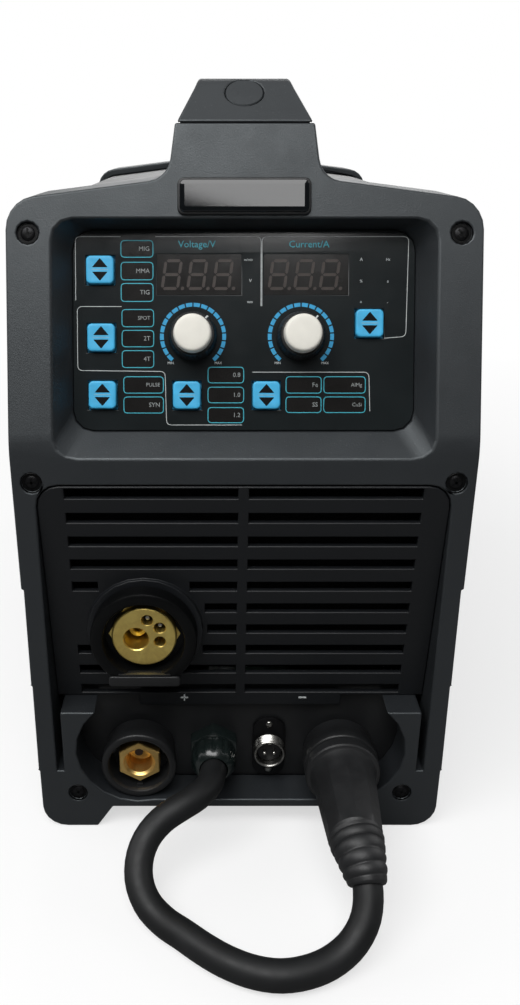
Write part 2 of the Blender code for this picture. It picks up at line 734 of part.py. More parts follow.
# ---------------------------------------------------------------- control panel
def control_panel(frame):
    edge = CLEAR
    loops = [rectangle(-PANEL_HALF + edge, PANEL_HALF - edge, PANEL_FOOT + edge,
                       PANEL_HEAD - edge, PANEL_RADIUS - edge)]
    hole = BUTTON / 2 + CLEAR
    loops += [rectangle(x - hole, x + hole, y - hole, y + hole)
              for x, y in BUTTONS.values()]
    loops += [circle(x, KNOB_UP, BUSH_RADIUS + CLEAR, 16) for x in KNOBS.values()]
    wide, high = DISPLAY_WIDTH / 2 + CLEAR, DISPLAY_HEIGHT / 2 + CLEAR
    loops += [rectangle(x - wide, x + wide, DISPLAY_UP - high, DISPLAY_UP + high)
              for x in DISPLAYS.values()]
    add("control_panel", plate_mesh("control_panel", loops, -PANEL_THICK, 0),
        gloss_black(), parent=frame)

    inset = LEDGE + 0.001
    board = add("control_board",
                plate_mesh("control_board",
                           [rectangle(-PANEL_HALF + inset, PANEL_HALF - inset,
                                      PANEL_FOOT + inset, PANEL_HEAD - inset, 0.002, 1)],
                           -BOARD_BEHIND - BOARD_THICK, -BOARD_BEHIND),
                green_board(), parent=frame)
    for x in KNOBS.values():
        join(board, rod_mesh("bush", BUSH_RADIUS, -BOARD_BEHIND - BOARD_THICK / 2,
                             CLEAR, 16), (x, KNOB_UP, 0))
        join(board, rod_mesh("shaft", SHAFT_RADIUS, -BOARD_BEHIND - BOARD_THICK / 2,
                             KNOB_HEIGHT - 0.003, 12), (x, KNOB_UP, 0))
    post = BOARD_BEHIND - PANEL_THICK - CLEAR
    for x in (-PANEL_HALF + inset + 0.004, PANEL_HALF - inset - 0.004):
        join(board, rod_mesh("post", 0.003, -BOARD_BEHIND - BOARD_THICK / 2,
                             -BOARD_BEHIND + post, 10), (x, BOARD_POST_UP, 0))

    for name, x in DISPLAYS.items():
        add(name + "_display",
            plate_mesh(name + "_display",
                       [rectangle(x - DISPLAY_WIDTH / 2, x + DISPLAY_WIDTH / 2,
                                  DISPLAY_UP - DISPLAY_HEIGHT / 2,
                                  DISPLAY_UP + DISPLAY_HEIGHT / 2)],
                       -BOARD_BEHIND + CLEAR, -CLEAR),
            gloss_black(), parent=frame)


def buttons(frame):
    half = BUTTON / 2
    rim_top = -PANEL_THICK - CLEAR
    foot = -BOARD_BEHIND + CLEAR + BUTTON_TRAVEL
    for name, (x, y) in BUTTONS.items():
        cap = plate_mesh(name, [rectangle(-half, half, -half, half, 0.0012, 1)],
                         rim_top - BUTTON_RIM / 2, BUTTON_PROUD)
        button = add(name, cap, blue_plastic(), (x, y, 0), parent=frame)
        flange = half + BUTTON_RIM
        join(button, box_mesh("rim", -flange, flange, -flange, flange,
                              rim_top - BUTTON_RIM, rim_top), (x, y, 0))
        join(button, rod_mesh("stem", 0.002, foot, rim_top - BUTTON_RIM / 2, 10), (x, y, 0))


def knobs(frame):
    base = CLEAR + CLEAR
    for name, x in KNOBS.items():
        top = base + KNOB_HEIGHT
        bore = SHAFT_RADIUS + CLEAR
        bore_top = KNOB_HEIGHT - 0.003 + CLEAR
        recess = top - 0.002
        profile = [(0, recess), (CAP_RADIUS + CLEAR, recess), (CAP_RADIUS + CLEAR, top),
                   (KNOB_RADIUS - 0.0012, top), (KNOB_RADIUS - 0.0004, top - 0.001),
                   (KNOB_RADIUS, base), (bore, base), (bore, bore_top), (0, bore_top)]
        turned(name + "_knob", profile, black_plastic(), (x, KNOB_UP, 0), parent=frame)
        low = recess + CLEAR
        high = top + CAP_HEIGHT
        turned(name + "_knob_cap",
               [(0, high), (CAP_RADIUS - 0.0014, high), (CAP_RADIUS - 0.0003, high - 0.001),
                (CAP_RADIUS, low), (0, low)],
               cream_plastic(), (x, KNOB_UP, 0), parent=frame)


# ---------------------------------------------------------------- connectors
def connector_plate():
    reach = RECESS_X + RECESS_RADIUS + 0.0035
    foot = FOOT_HEIGHT + FACE_WALL + 0.001
    loops = [rectangle(-reach, reach, foot, BLOCK_TOP + 0.009)]
    for x in (-SOCKET_X, SOCKET_X):
        loops.append(circle(x, CONNECTOR_Z, STUD_RADIUS + CLEAR, 16))
    loops.append(circle(GLAND_X, CONNECTOR_Z, LEAD_RADIUS + 0.001, 16))
    loops.append(circle(REMOTE_X, CONNECTOR_Z, REMOTE_RADIUS - 0.0015, 16))
    face = BLOCK_DEPTH + CLEAR
    add("connector_plate", plate_mesh("connector_plate", loops, -face - CONNECTOR_PLATE, -face),
        black_plastic(), turn=FRONT)


def power_socket(name, x):
    """An insulated housing with a threaded brass contact through the plate."""
    face = BLOCK_DEPTH
    floor = face - 0.004
    bore = STUD_RADIUS + CLEAR
    profile = [(SOCKET_BORE, -SOCKET_FRONT), (SOCKET_RADIUS - 0.001, -SOCKET_FRONT),
               (SOCKET_RADIUS, -SOCKET_FRONT - 0.001), (SOCKET_RADIUS, -face),
               (bore, -face), (bore, -floor), (SOCKET_BORE, -floor)]
    turned(name + "_socket", profile, black_plastic(), (x, 0, CONNECTOR_Z), FRONT, closed=True)
    shoulder = floor - CLEAR
    stud_end = face + CONNECTOR_PLATE + STUD_LENGTH
    contact = add(name + "_contact",
                  plate_mesh(name + "_contact", [hexagon(CONTACT_FLATS)], -shoulder, -CONTACT_FRONT),
                  brass(), (x, 0, CONNECTOR_Z), FRONT)
    join(contact, rod_mesh("stud", STUD_RADIUS, -stud_end, -shoulder + 0.001, 16),
         (x, 0, CONNECTOR_Z), FRONT)
    cut(contact, rod_mesh("bore", CONTACT_BORE, -shoulder + 0.0015, -CONTACT_FRONT + CUT, 20),
        (x, 0, CONNECTOR_Z), FRONT)


def connectors():
    connector_plate()
    power_socket("positive", -SOCKET_X)
    power_socket("negative", SOCKET_X)

    face = BLOCK_DEPTH
    nut_front = face - GLAND_NUT
    bore = LEAD_RADIUS + CLEAR
    body = add("lead_gland",
               plate_mesh("lead_gland", [hexagon(GLAND_FLATS, False), circle(0, 0, bore, 16)],
                          -face, -nut_front),
               black_plastic(), (GLAND_X, 0, CONNECTOR_Z), FRONT)
    thread = LEAD_RADIUS + 0.001 - CLEAR
    join(body, plate_mesh("thread", [circle(0, 0, thread + 0.0002, 16), circle(0, 0, bore, 16)],
                          -face - CONNECTOR_PLATE - 0.006, -face + 0.001),
         (GLAND_X, 0, CONNECTOR_Z), FRONT)
    cap = GLAND_FLATS / 2
    turned("gland_cap",
           [(bore, -GLAND_FRONT), (cap - 0.004, -GLAND_FRONT), (cap - 0.001, -GLAND_FRONT - 0.004),
            (cap - 0.0004, -nut_front + CLEAR), (bore, -nut_front + CLEAR)],
           black_plastic(), (GLAND_X, 0, CONNECTOR_Z), FRONT, closed=True, steps=18)

    shell = REMOTE_RADIUS
    inner = shell - 0.0018
    front = face - REMOTE_LENGTH
    flange = 0.0016
    socket = turned("remote_socket",
                    [(0, -front), (shell - 0.0006, -front), (shell, -front - 0.0008),
                     (shell, -face), (0, -face)],
                    nickel(), (REMOTE_X, 0, CONNECTOR_Z), FRONT, steps=20)
    ears = rectangle(-0.0045, 0.0045, -0.0175, 0.0175, 0.003, 2)
    join(socket, plate_mesh("ears", [ears], -face + CLEAR, -face + flange),
         (REMOTE_X, 0, CONNECTOR_Z), FRONT)
    cut(socket, rod_mesh("bore", inner, -face - CUT, -front + CUT, 20),
        (REMOTE_X, 0, CONNECTOR_Z), FRONT)
    insert = add("remote_insert", rod_mesh("remote_insert", inner - CLEAR, -face,
                                           -front - 0.0045, 20),
                 black_plastic(), (REMOTE_X, 0, CONNECTOR_Z), FRONT)
    for side in (-1, 1):
        join(insert, rod_mesh("pin", 0.001, -front - 0.006, -front - 0.001, 8),
             (REMOTE_X + side * 0.0028, 0, CONNECTOR_Z), FRONT)


def euro_connector():
    back = EURO_FLANGE_FRONT + EURO_FLANGE_THICK
    hexagon_back = back - 0.002
    hexagon_front = hexagon_back - 0.006
    well = EURO_FLATS / math.sqrt(3) + 0.0008
    bore = EURO_RADIUS + CLEAR
    turned("euro_flange",
           [(well, -EURO_FLANGE_FRONT), (EURO_FLANGE_RADIUS - 0.0015, -EURO_FLANGE_FRONT),
            (EURO_FLANGE_RADIUS, -EURO_FLANGE_FRONT - 0.0015), (EURO_FLANGE_RADIUS, -back),
            (bore, -back), (bore, -hexagon_back - CLEAR), (well, -hexagon_back - CLEAR)],
           black_plastic(), (EURO_X, 0, EURO_Z), FRONT, closed=True, steps=28)
    rim = 0.0008
    body = turned("euro_body",
                  [(0, -EURO_FRONT), (EURO_RADIUS - rim, -EURO_FRONT),
                   (EURO_RADIUS, -EURO_FRONT - rim), (EURO_RADIUS, -EURO_BACK), (0, -EURO_BACK)],
                  brass(), (EURO_X, 0, EURO_Z), FRONT, steps=24)
    join(body, plate_mesh("nut", [hexagon(EURO_FLATS, False), circle(0, 0, EURO_RADIUS - 0.001, 18)],
                          -hexagon_back, -hexagon_front), (EURO_X, 0, EURO_Z), FRONT)
    across, up, radius = EURO_MAIN
    holes = [moved(rod_mesh("main", radius, -0.018, -EURO_FRONT + CUT, 16), across, up)]
    holes += [moved(rod_mesh("port", EURO_PORT_RADIUS, -0.010, -EURO_FRONT + CUT, 10), x, y)
              for x, y in EURO_PORTS]
    cut(body, merged("ports", holes), (EURO_X, 0, EURO_Z), FRONT)
    guide_end = ROLL_Y - ROLL_RADIUS * 0.6
    join(body, rod_mesh("outlet_guide", 0.003, -guide_end, -EURO_BACK + 0.002, 12),
         (WIRE_X, 0, WIRE_Z), FRONT)
    cut(body, rod_mesh("guide_bore", GUIDE_BORE, -guide_end - CUT, -0.016, 10),
        (WIRE_X, 0, WIRE_Z), FRONT)


# ---------------------------------------------------------------- polarity lead
def smooth_route(points, spacing):
    """Even points on a smooth curve through the chosen ones."""
    fine = []
    last = len(points) - 1
    for i in range(last):
        before, start = Vector(points[max(i - 1, 0)]), Vector(points[i])
        end, after = Vector(points[i + 1]), Vector(points[min(i + 2, last)])
        for step in range(12):
            t = step / 12
            fine.append(0.5 * (2 * start + (end - before) * t
                               + (2 * before - 5 * start + 4 * end - after) * t ** 2
                               + (3 * start - before - 3 * end + after) * t ** 3))
    fine.append(Vector(points[last]))
    lengths = [0.0]
    for a, b in zip(fine, fine[1:]):
        lengths.append(lengths[-1] + (b - a).length)
    count = round(lengths[-1] / spacing)
    even = []
    for i in range(count + 1):
        target = lengths[-1] * i / count
        at = max(j for j, length in enumerate(lengths) if length <= target + 1e-9)
        at = min(at, len(fine) - 2)
        share = (target - lengths[at]) / (lengths[at + 1] - lengths[at])
        even.append(fine[at].lerp(fine[at + 1], share))
    return even


def polarity_lead():
    route = smooth_route(LEAD_ROUTE, 0.004)
    boot_points = round(BOOT_SPAN / 0.004)
    joint = route[-boot_points - 1]
    along = (route[-boot_points] - route[-boot_points - 2]).normalized()
    stub = 0.0015
    spaced = route[:-boot_points - 2:3] + [joint - along * stub, joint - along * CLEAR / 2]
    add("polarity_lead", tube_mesh("polarity_lead", spaced, [LEAD_RADIUS] * len(spaced)),
        black_rubber())

    boot_route = [joint + along * CLEAR / 2, joint + along * stub] + route[-boot_points:]
    last = len(boot_route) - 1
    radii = [BOOT_TIP + (BOOT_RADIUS - BOOT_TIP) * i / last
             - (0.0009 if i % 2 and i < 2 * BOOT_RIDGES else 0.0) for i in range(last + 1)]
    boot = tube_mesh("plug_boot", boot_route, radii)

    nose = CONTACT_FRONT - CLEAR
    pin_end = BLOCK_DEPTH - 0.0065
    body = PLUG_BODY_RADIUS
    start = SOCKET_FRONT - CLEAR
    end = PLUG_BODY_END + CLEAR
    plug = turned("lead_plug",
           [(0, -end), (body - 0.0025, -end), (body - 0.0015, -end - 0.003), (body, -start + 0.012),
            (SOCKET_RADIUS - 0.002, -start + 0.008), (SOCKET_RADIUS - 0.0015, -start),
            (PLUG_NOSE_RADIUS, -start), (PLUG_NOSE_RADIUS, -nose), (PLUG_PIN_RADIUS, -nose),
            (PLUG_PIN_RADIUS, -pin_end), (0, -pin_end)],
           black_rubber(), (SOCKET_X, 0, CONNECTOR_Z), FRONT)
    join(plug, boot)


# ---------------------------------------------------------------- handle
def handle_profile():
    """Half of the handle's side view, (Y, Z), from its nose to the middle."""
    foot = SEAM_Z + CLEAR
    nose_top = (TONGUE_FRONT + NOSE_RUN, foot + NOSE_RISE)
    under = GRIP_TOP - GRIP_THICK
    return [(MIRROR_Y, under), (BEZEL_DEPTH + 0.008, under, 0.004), (BEZEL_DEPTH, foot),
            (TONGUE_FRONT, foot), (nose_top[0], nose_top[1], 0.010),
            (nose_top[0] + 0.010, GRIP_TOP, 0.010), (MIRROR_Y, GRIP_TOP)]


def carry_handle():
    front_half = handle_profile()
    rear_half = [(2 * MIRROR_Y - point[0],) + tuple(point[1:]) for point in reversed(front_half)]
    outline = filleted(front_half + rear_half[1:-1], 3)
    handle = add("carry_handle",
                 plate_mesh("carry_handle", [outline], -TONGUE_TOP / 2, TONGUE_TOP / 2),
                 charcoal(), turn=SIDEWAYS)
    wide, slim = TONGUE_TOP / 2, GRIP_WIDTH / 2
    neck = TONGUE_FRONT + NOSE_RUN
    corner = [(slim, MIRROR_Y), (slim, neck, 0.02), (wide, TONGUE_FRONT), (wide, TONGUE_FRONT - CUT)]
    front = corner + [(-x, *rest) for x, *rest in reversed(corner)]
    plan = front[:-1] + [(-slim, MIRROR_Y)]
    rear = [(x, 2 * MIRROR_Y - y, *rest) for x, y, *rest in reversed(plan)]
    keep(handle, plate_mesh("plan", [filleted(plan[:-1] + rear[:-1], 3)],
                            ROOF_Z, GRIP_TOP + CUT))
    edge = handle.modifiers.new("rounded", "BEVEL")
    edge.width = 0.0022
    edge.segments = 1
    edge.limit_method = "ANGLE"
    edge.angle_limit = math.radians(50)

    slope = math.atan2(NOSE_RISE, NOSE_RUN)
    y = TONGUE_FRONT + NOSE_RUN * SCREW_SEAT_PLACE
    z = SEAM_Z + CLEAR + NOSE_RISE * SCREW_SEAT_PLACE
    for at, tilt in ((y, slope), (2 * MIRROR_Y - y, -slope)):
        cut(handle, rod_mesh("screw_seat", SCREW_SEAT_RADIUS, -SCREW_SEAT_DEPTH, CUT, 20),
            (0, at, z), Matrix.Rotation(tilt, 4, "X"))


# ---------------------------------------------------------------- rear panel
def rear_profile():
    tongue_back = REAR_FRONT + BEZEL_DEPTH - TONGUE_FRONT
    return [(REAR_FRONT, -CUT), (CASE_DEPTH, -CUT), (CASE_DEPTH, ROOF_Z - REAR_CHAMFER),
            (CASE_DEPTH - REAR_CHAMFER / 2, ROOF_Z), (tongue_back, SEAM_Z),
            (tongue_back, SEAM_Z + CUT), (REAR_FRONT, SEAM_Z + CUT)]


def rear_panel():
    outer = plate_mesh("rear_panel", [case_outline(tongue=True)],
                       -CASE_DEPTH - CUT, -REAR_FRONT + CUT)
    panel = add("rear_panel", outer, charcoal(), turn=FRONT)
    keep(panel, plate_mesh("side", [rear_profile()], -HALF - CUT, HALF + CUT), turn=SIDEWAYS)
    inside = case_outline(inset=SIDE_WALL, feet=False)
    hollow = cut(panel, plate_mesh("hollow", [inside], -CASE_DEPTH, -REAR_FRONT + CUT), turn=FRONT)
    back = CASE_DEPTH - FACE_WALL
    keep(hollow, plate_mesh("hollow_side", [[(REAR_FRONT - 2 * CUT, 0), (back, 0),
                                             (back, ROOF_Z - REAR_CHAMFER),
                                             (back - REAR_CHAMFER / 2, ROOF_Z),
                                             (REAR_FRONT - 2 * CUT, ROOF_Z)]],
                            -HALF, HALF), turn=SIDEWAYS)
    wide, high = SWITCH_WIDTH / 2 + CLEAR, SWITCH_HEIGHT / 2 + CLEAR
    loops = [circle(FAN_X, FAN_Z, FAN_BORE, 28),
             rectangle(SWITCH_X - wide, SWITCH_X + wide, SWITCH_Z - high, SWITCH_Z + high),
             circle(MAINS_X, MAINS_Z, MAINS_RADIUS + CLEAR, 16),
             circle(GAS_X, GAS_Z, GAS_RADIUS + CLEAR, 12)]
    cut(panel, plate_mesh("rear_holes", loops, -CASE_DEPTH - CUT, -CASE_DEPTH + FACE_WALL + CUT),
        turn=FRONT)


def fan():
    guard_front = CASE_DEPTH + CLEAR
    rings = [circle(0, 0, FAN_BORE + 0.004, 28)]
    for radius in (0.014, 0.024, 0.034):
        for quarter in range(4):
            low, high = quarter * 90 + 6, quarter * 90 + 84
            rings.append(arc(0, 0, radius + 0.0075, low, high, 3)
                         + arc(0, 0, radius, high, low, 3))
    add("fan_guard", plate_mesh("fan_guard", rings, guard_front, guard_front + GUARD_THICK),
        black_plastic(), (FAN_X, 0, FAN_Z), BACK)

    back = CASE_DEPTH - FACE_WALL - CLEAR
    half = FAN_SIZE / 2
    frame = add("fan_frame",
                plate_mesh("fan_frame", [rectangle(-half, half, -half, half, 0.004, 2),
                                         circle(0, 0, FAN_BORE, 28)], back - FAN_DEPTH, back),
                black_plastic(), (FAN_X, 0, FAN_Z), BACK)
    spokes = [box_mesh("spoke", -FAN_BORE - 0.001, -FAN_HUB + 0.003, -0.002, 0.002,
                       back - FAN_DEPTH, back - FAN_DEPTH + 0.003)]
    spokes += [moved(spokes[0].copy(), turn=Matrix.Rotation(math.radians(angle), 4, "Z"))
               for angle in (90, 180, 270)]
    join(frame, merged("spokes", spokes), (FAN_X, 0, FAN_Z), BACK)
    axle = back - 0.006
    join(frame, rod_mesh("motor", FAN_HUB - 0.002, back - FAN_DEPTH, back - FAN_DEPTH + 0.0035, 20),
         (FAN_X, 0, FAN_Z), BACK)
    join(frame, rod_mesh("axle", 0.002, back - FAN_DEPTH + 0.001, axle, 10),
         (FAN_X, 0, FAN_Z), BACK)

    low = back - FAN_DEPTH + 0.0035 + 2 * CLEAR
    high = back - 0.003
    rotor = turned("fan_rotor",
                   [(0, high), (FAN_HUB - 0.001, high), (FAN_HUB, high - 0.001), (FAN_HUB, low),
                    (0.002 + CLEAR, low), (0.002 + CLEAR, axle + CLEAR), (0, axle + CLEAR)],
                   black_plastic(), (FAN_X, 0, FAN_Z), BACK, steps=20)
    tip = FAN_BORE - 0.0015
    middle = (low + high) / 2
    blades = []
    for i in range(FAN_BLADES):
        blade = box_mesh("blade", FAN_HUB - 0.001, tip, -0.0008, 0.0008, -0.010, 0.010)
        moved(blade, turn=Matrix.Rotation(math.radians(48), 4, "X"))
        moved(blade, z=middle, turn=Matrix.Rotation(math.tau * i / FAN_BLADES, 4, "Z"))
        blades.append(blade)
    join(rotor, merged("blades", blades), (FAN_X, 0, FAN_Z), BACK)


def rear_fittings():
    face = CASE_DEPTH + CLEAR
    wide, high = SWITCH_WIDTH / 2, SWITCH_HEIGHT / 2
    lip = 0.0025
    well_x, well_z = wide - 0.0025, high - 0.004
    housing = add("switch_housing",
                  plate_mesh("switch_housing", [rectangle(-wide, wide, -high, high),
                                                rectangle(-well_x, well_x, -well_z, well_z)],
                             face - 0.018, face + 0.001),
                  black_plastic(), (SWITCH_X, 0, SWITCH_Z), BACK)
    join(housing, plate_mesh("lip", [rectangle(-wide - lip, wide + lip, -high - lip, high + lip,
                                               0.002, 2),
                                     rectangle(-well_x, well_x, -well_z, well_z)],
                             face, face + 0.002), (SWITCH_X, 0, SWITCH_Z), BACK)
    reach = well_z - 0.0012
    dip = 0.0015
    outline = [(0.0042, -reach), (dip, 0), (0.0042, reach), (-0.006, reach * 0.8),
               (-0.006, -reach * 0.8)]
    add("power_rocker", plate_mesh("power_rocker", [outline], -well_x + CLEAR, well_x - CLEAR),
        material("red_plastic", (0.6, 0.02, 0.02), 0.35), (SWITCH_X, face, SWITCH_Z),
        Matrix.Rotation(ROCKER_ANGLE, 4, "X") @ SIDEWAYS)

    bore = 0.0045
    turned("mains_gland",
           [(bore, face + 0.022), (MAINS_RADIUS - 0.003, face + 0.022),
            (MAINS_RADIUS + 0.001, face + 0.010), (MAINS_RADIUS + 0.003, face + 0.009),
            (MAINS_RADIUS + 0.003, face), (MAINS_RADIUS, face), (MAINS_RADIUS, face - 0.014),
            (bore, face - 0.014)],
           black_plastic(), (MAINS_X, 0, MAINS_Z), BACK, closed=True, steps=20)
    gas = GAS_RADIUS
    turned("gas_inlet",
           [(0.002, face + 0.024), (0.0032, face + 0.024), (0.0045, face + 0.021),
            (0.0035, face + 0.0205), (0.0045, face + 0.017), (0.0035, face + 0.0165),
            (0.0045, face + 0.012), (0.0045, face + 0.007), (gas + 0.0035, face + 0.006),
            (gas + 0.0035, face), (gas, face), (gas, face - 0.012), (0.002, face - 0.012)],
           brass(), (GAS_X, 0, GAS_Z), BACK, closed=True, steps=14)
    valve_back = CASE_DEPTH - 0.012 - CLEAR
    valve = add("gas_valve", box_mesh("gas_valve", -0.014, 0.014, -0.012, 0.012,
                                      valve_back - 0.022, valve_back),
                zinc(), (GAS_X, 0, GAS_Z), BACK)
    join(valve, rod_mesh("coil", 0.0095, 0.010, 0.032, 18),
         (GAS_X, valve_back - 0.011, GAS_Z))
    join(valve, box_mesh("foot", -0.010, 0.010, -GAS_Z + TRAY_Z + SHEET + CLEAR, -0.010,
                         valve_back - 0.018, valve_back - 0.004), (GAS_X, 0, GAS_Z), BACK)


# ---------------------------------------------------------------- cover and door
def hinge_knuckles(owner, offsets):
    """Knuckles about the door's hinge line, each at an offset from a hinge's middle."""
    knuckles = []
    for middle in HINGE_Y:
        for offset in offsets:
            barrel = rod_mesh("knuckle", KNUCKLE_RADIUS, -KNUCKLE_LENGTH / 2, KNUCKLE_LENGTH / 2, 10)
            knuckles.append(moved(barrel, HINGE_X, middle + offset, HINGE_Z, FRONT))
    join(owner, merged("knuckles", knuckles))
    reach = 2 * KNUCKLE_LENGTH
    bores = [moved(rod_mesh("bore", PIN_RADIUS + CLEAR, -reach, reach, 10),
                   HINGE_X, middle, HINGE_Z, FRONT) for middle in HINGE_Y]
    cut(owner, merged("bores", bores))


def hinge_notches(owner, offsets, low, high):
    """Room in a sheet for the other side's knuckles."""
    reach = KNUCKLE_LENGTH / 2 + CLEAR
    notches = [box_mesh("notch", HINGE_X - 0.001, HINGE_X + KNUCKLE_RADIUS + 0.001,
                        middle + offset - reach, middle + offset + reach, low, high)
               for middle in HINGE_Y for offset in offsets]
    cut(owner, merged("notches", notches))


def sheet_cover():
    """Roof and right side in one bent sheet, with a short flange that carries the door."""
    def path(inset, foot):
        side = HALF - inset
        radius = max(SHOULDER_RADIUS - inset, 0.002)
        hem = HINGE_Z + PIN_RADIUS + 3 * CLEAR
        return [(side, foot), (side, BEAD_Z[0] - BEAD), (side + BEAD, BEAD_Z[0]),
                (side + BEAD, BEAD_Z[1]), (side, BEAD_Z[1] + BEAD),
                (side, roof_height(side, inset), radius),
                (ROOF_FLAT / 2, ROOF_Z - inset), (-ROOF_FLAT / 2, ROOF_Z - inset),
                (-side, roof_height(side, inset), radius), (-side, hem)]
    foot = FOOT_HEIGHT + FACE_WALL + 2 * CLEAR
    outer = path(SIDE_WALL + CLEAR, foot)
    inner = path(SIDE_WALL + CLEAR + SHEET, foot)
    outline = filleted(outer + list(reversed(inner)), 3)
    cover = add("sheet_cover",
                plate_mesh("sheet_cover", [outline], -REAR_FRONT - COVER_LAP,
                           -BEZEL_DEPTH + COVER_LAP),
                black_steel(), turn=FRONT)
    lap = COVER_LAP + CLEAR
    shave = [box_mesh("lap", SHEET_X - CLEAR / 4, SHEET_X + 2 * BEAD, y0, y1, 0, ROOF_Z)
             for y0, y1 in ((BEZEL_DEPTH - lap - CUT, BEZEL_DEPTH + CLEAR),
                            (REAR_FRONT - CLEAR, REAR_FRONT + lap + CUT))]
    cut(cover, merged("laps", shave))
    vents = []
    for column in range(VENT_COLUMNS):
        for row in range(VENT_ROWS):
            middle = MIRROR_Y + (column - (VENT_COLUMNS - 1) / 2) * (VENT_LENGTH + 0.020)
            z = VENT_Z + row * VENT_PITCH
            vents.append(box_mesh("vent", SHEET_X - 0.004, SHEET_X + 0.004,
                                  middle - VENT_LENGTH / 2, middle + VENT_LENGTH / 2,
                                  z, z + VENT_HEIGHT))
    cut(cover, merged("vents", vents))
    pitch = KNUCKLE_LENGTH + 2 * CLEAR
    notch_foot = HINGE_Z
    hinge_notches(cover, (0,), notch_foot, HINGE_Z + KNUCKLE_RADIUS + 0.0008)
    hinge_knuckles(cover, (-pitch, pitch))


def side_door():
    foot, head = DOOR_FOOT_Z, HINGE_Z - PIN_RADIUS - 3 * CLEAR
    outer = [(-SHEET_X, head), (-SHEET_X, BEAD_Z[1] + BEAD), (-SHEET_X - BEAD, BEAD_Z[1]),
             (-SHEET_X - BEAD, BEAD_Z[0]), (-SHEET_X, BEAD_Z[0] - BEAD), (-SHEET_X, foot)]
    inner = [(x + SHEET, z) for x, z in reversed(outer)]
    door = add("side_door",
               plate_mesh("side_door", [outer + inner], -REAR_FRONT + DOOR_GAP,
                          -BEZEL_DEPTH - DOOR_GAP),
               black_steel(), turn=FRONT)
    pitch = KNUCKLE_LENGTH + 2 * CLEAR
    hinge_notches(door, (-pitch, pitch), HINGE_Z - KNUCKLE_RADIUS - 0.0008, HINGE_Z)
    hinge_knuckles(door, (0,))
    holes = [moved(rod_mesh("hole", LATCH_SHAFT + CLEAR, SHEET_X - 0.004, SHEET_X + 0.004, 14),
                   0, y, LATCH_Z, LEFTWARD) for y in LATCH_Y]
    cut(door, merged("latch_holes", holes))
    for i, y in enumerate(HINGE_Y):
        name = "hinge_pin_" + ("front", "rear")[i]
        length = 1.5 * pitch
        add(name, rod_mesh(name, PIN_RADIUS, -length, length, 12), zinc(),
            (HINGE_X, y, HINGE_Z), FRONT)


def door_latches():
    outer = SHEET_X + CLEAR
    inner = SHEET_X - SHEET - CLEAR
    for i, y in enumerate(LATCH_Y):
        name = "door_latch_" + ("front", "rear")[i]
        latch = turned(name,
                       [(0, outer + 0.0022), (LATCH_RADIUS - 0.0006, outer + 0.0022),
                        (LATCH_RADIUS, outer + 0.0014), (LATCH_RADIUS, outer),
                        (LATCH_SHAFT, outer), (LATCH_SHAFT, inner - 0.003), (0, inner - 0.003)],
                       black_plastic(), (0, y, LATCH_Z), LEFTWARD, steps=16)
        join(latch, box_mesh("wing", -LATCH_RADIUS + 0.001, LATCH_RADIUS - 0.001, -0.0014, 0.0014,
                             outer + 0.001, outer + 0.0042), (0, y, LATCH_Z), LEFTWARD)
        cam = rectangle(-0.0045, 0.015, -0.0045, 0.0045, 0.003, 2)
        join(latch, plate_mesh("cam", [cam], inner - 0.0035, inner - 0.0016),
             (0, y, LATCH_Z), LEFTWARD)


def base_tray():
    half, floor = INNER_X, TRAY_Z
    top = floor + TRAY_FLANGE
    outline = [(-half, floor), (half, floor), (half, top), (half - SHEET, top),
               (half - SHEET, floor + SHEET), (-half + SHEET, floor + SHEET),
               (-half + SHEET, top), (-half, top)]
    front = BLOCK_DEPTH + CONNECTOR_PLATE + 2 * CLEAR
    add("base_tray", plate_mesh("base_tray", [outline], -CASE_DEPTH + FACE_WALL + CLEAR, -front),
        zinc(), turn=FRONT)


def partition():
    foot = TRAY_Z + SHEET + CLEAR
    head = ROOF_Z - SIDE_WALL - SHEET - 2 * CLEAR
    front = lean_y(head, POCKET_DEPTH + BOARD_BEHIND + BOARD_THICK) + 0.012
    back = CASE_DEPTH - FACE_WALL - FAN_DEPTH - 0.004
    low_front = EURO_BACK - 0.010
    outline = [(low_front, foot), (back, foot), (back, head), (front, head), (low_front, BEND_Z)]
    wall = add("centre_partition",
               plate_mesh("centre_partition",
                          [outline, circle(ROLL_Y, WIRE_Z - ROLL_RADIUS, DRIVE_SHAFT + 0.001, 12)],
                          PARTITION_X - SHEET, PARTITION_X),
               zinc(), turn=SIDEWAYS)
    join(wall, box_mesh("flange", PARTITION_X - SHEET / 2, PARTITION_X + 0.014, low_front + 0.01,
                        back - 0.01, foot + CLEAR, foot + CLEAR + SHEET))


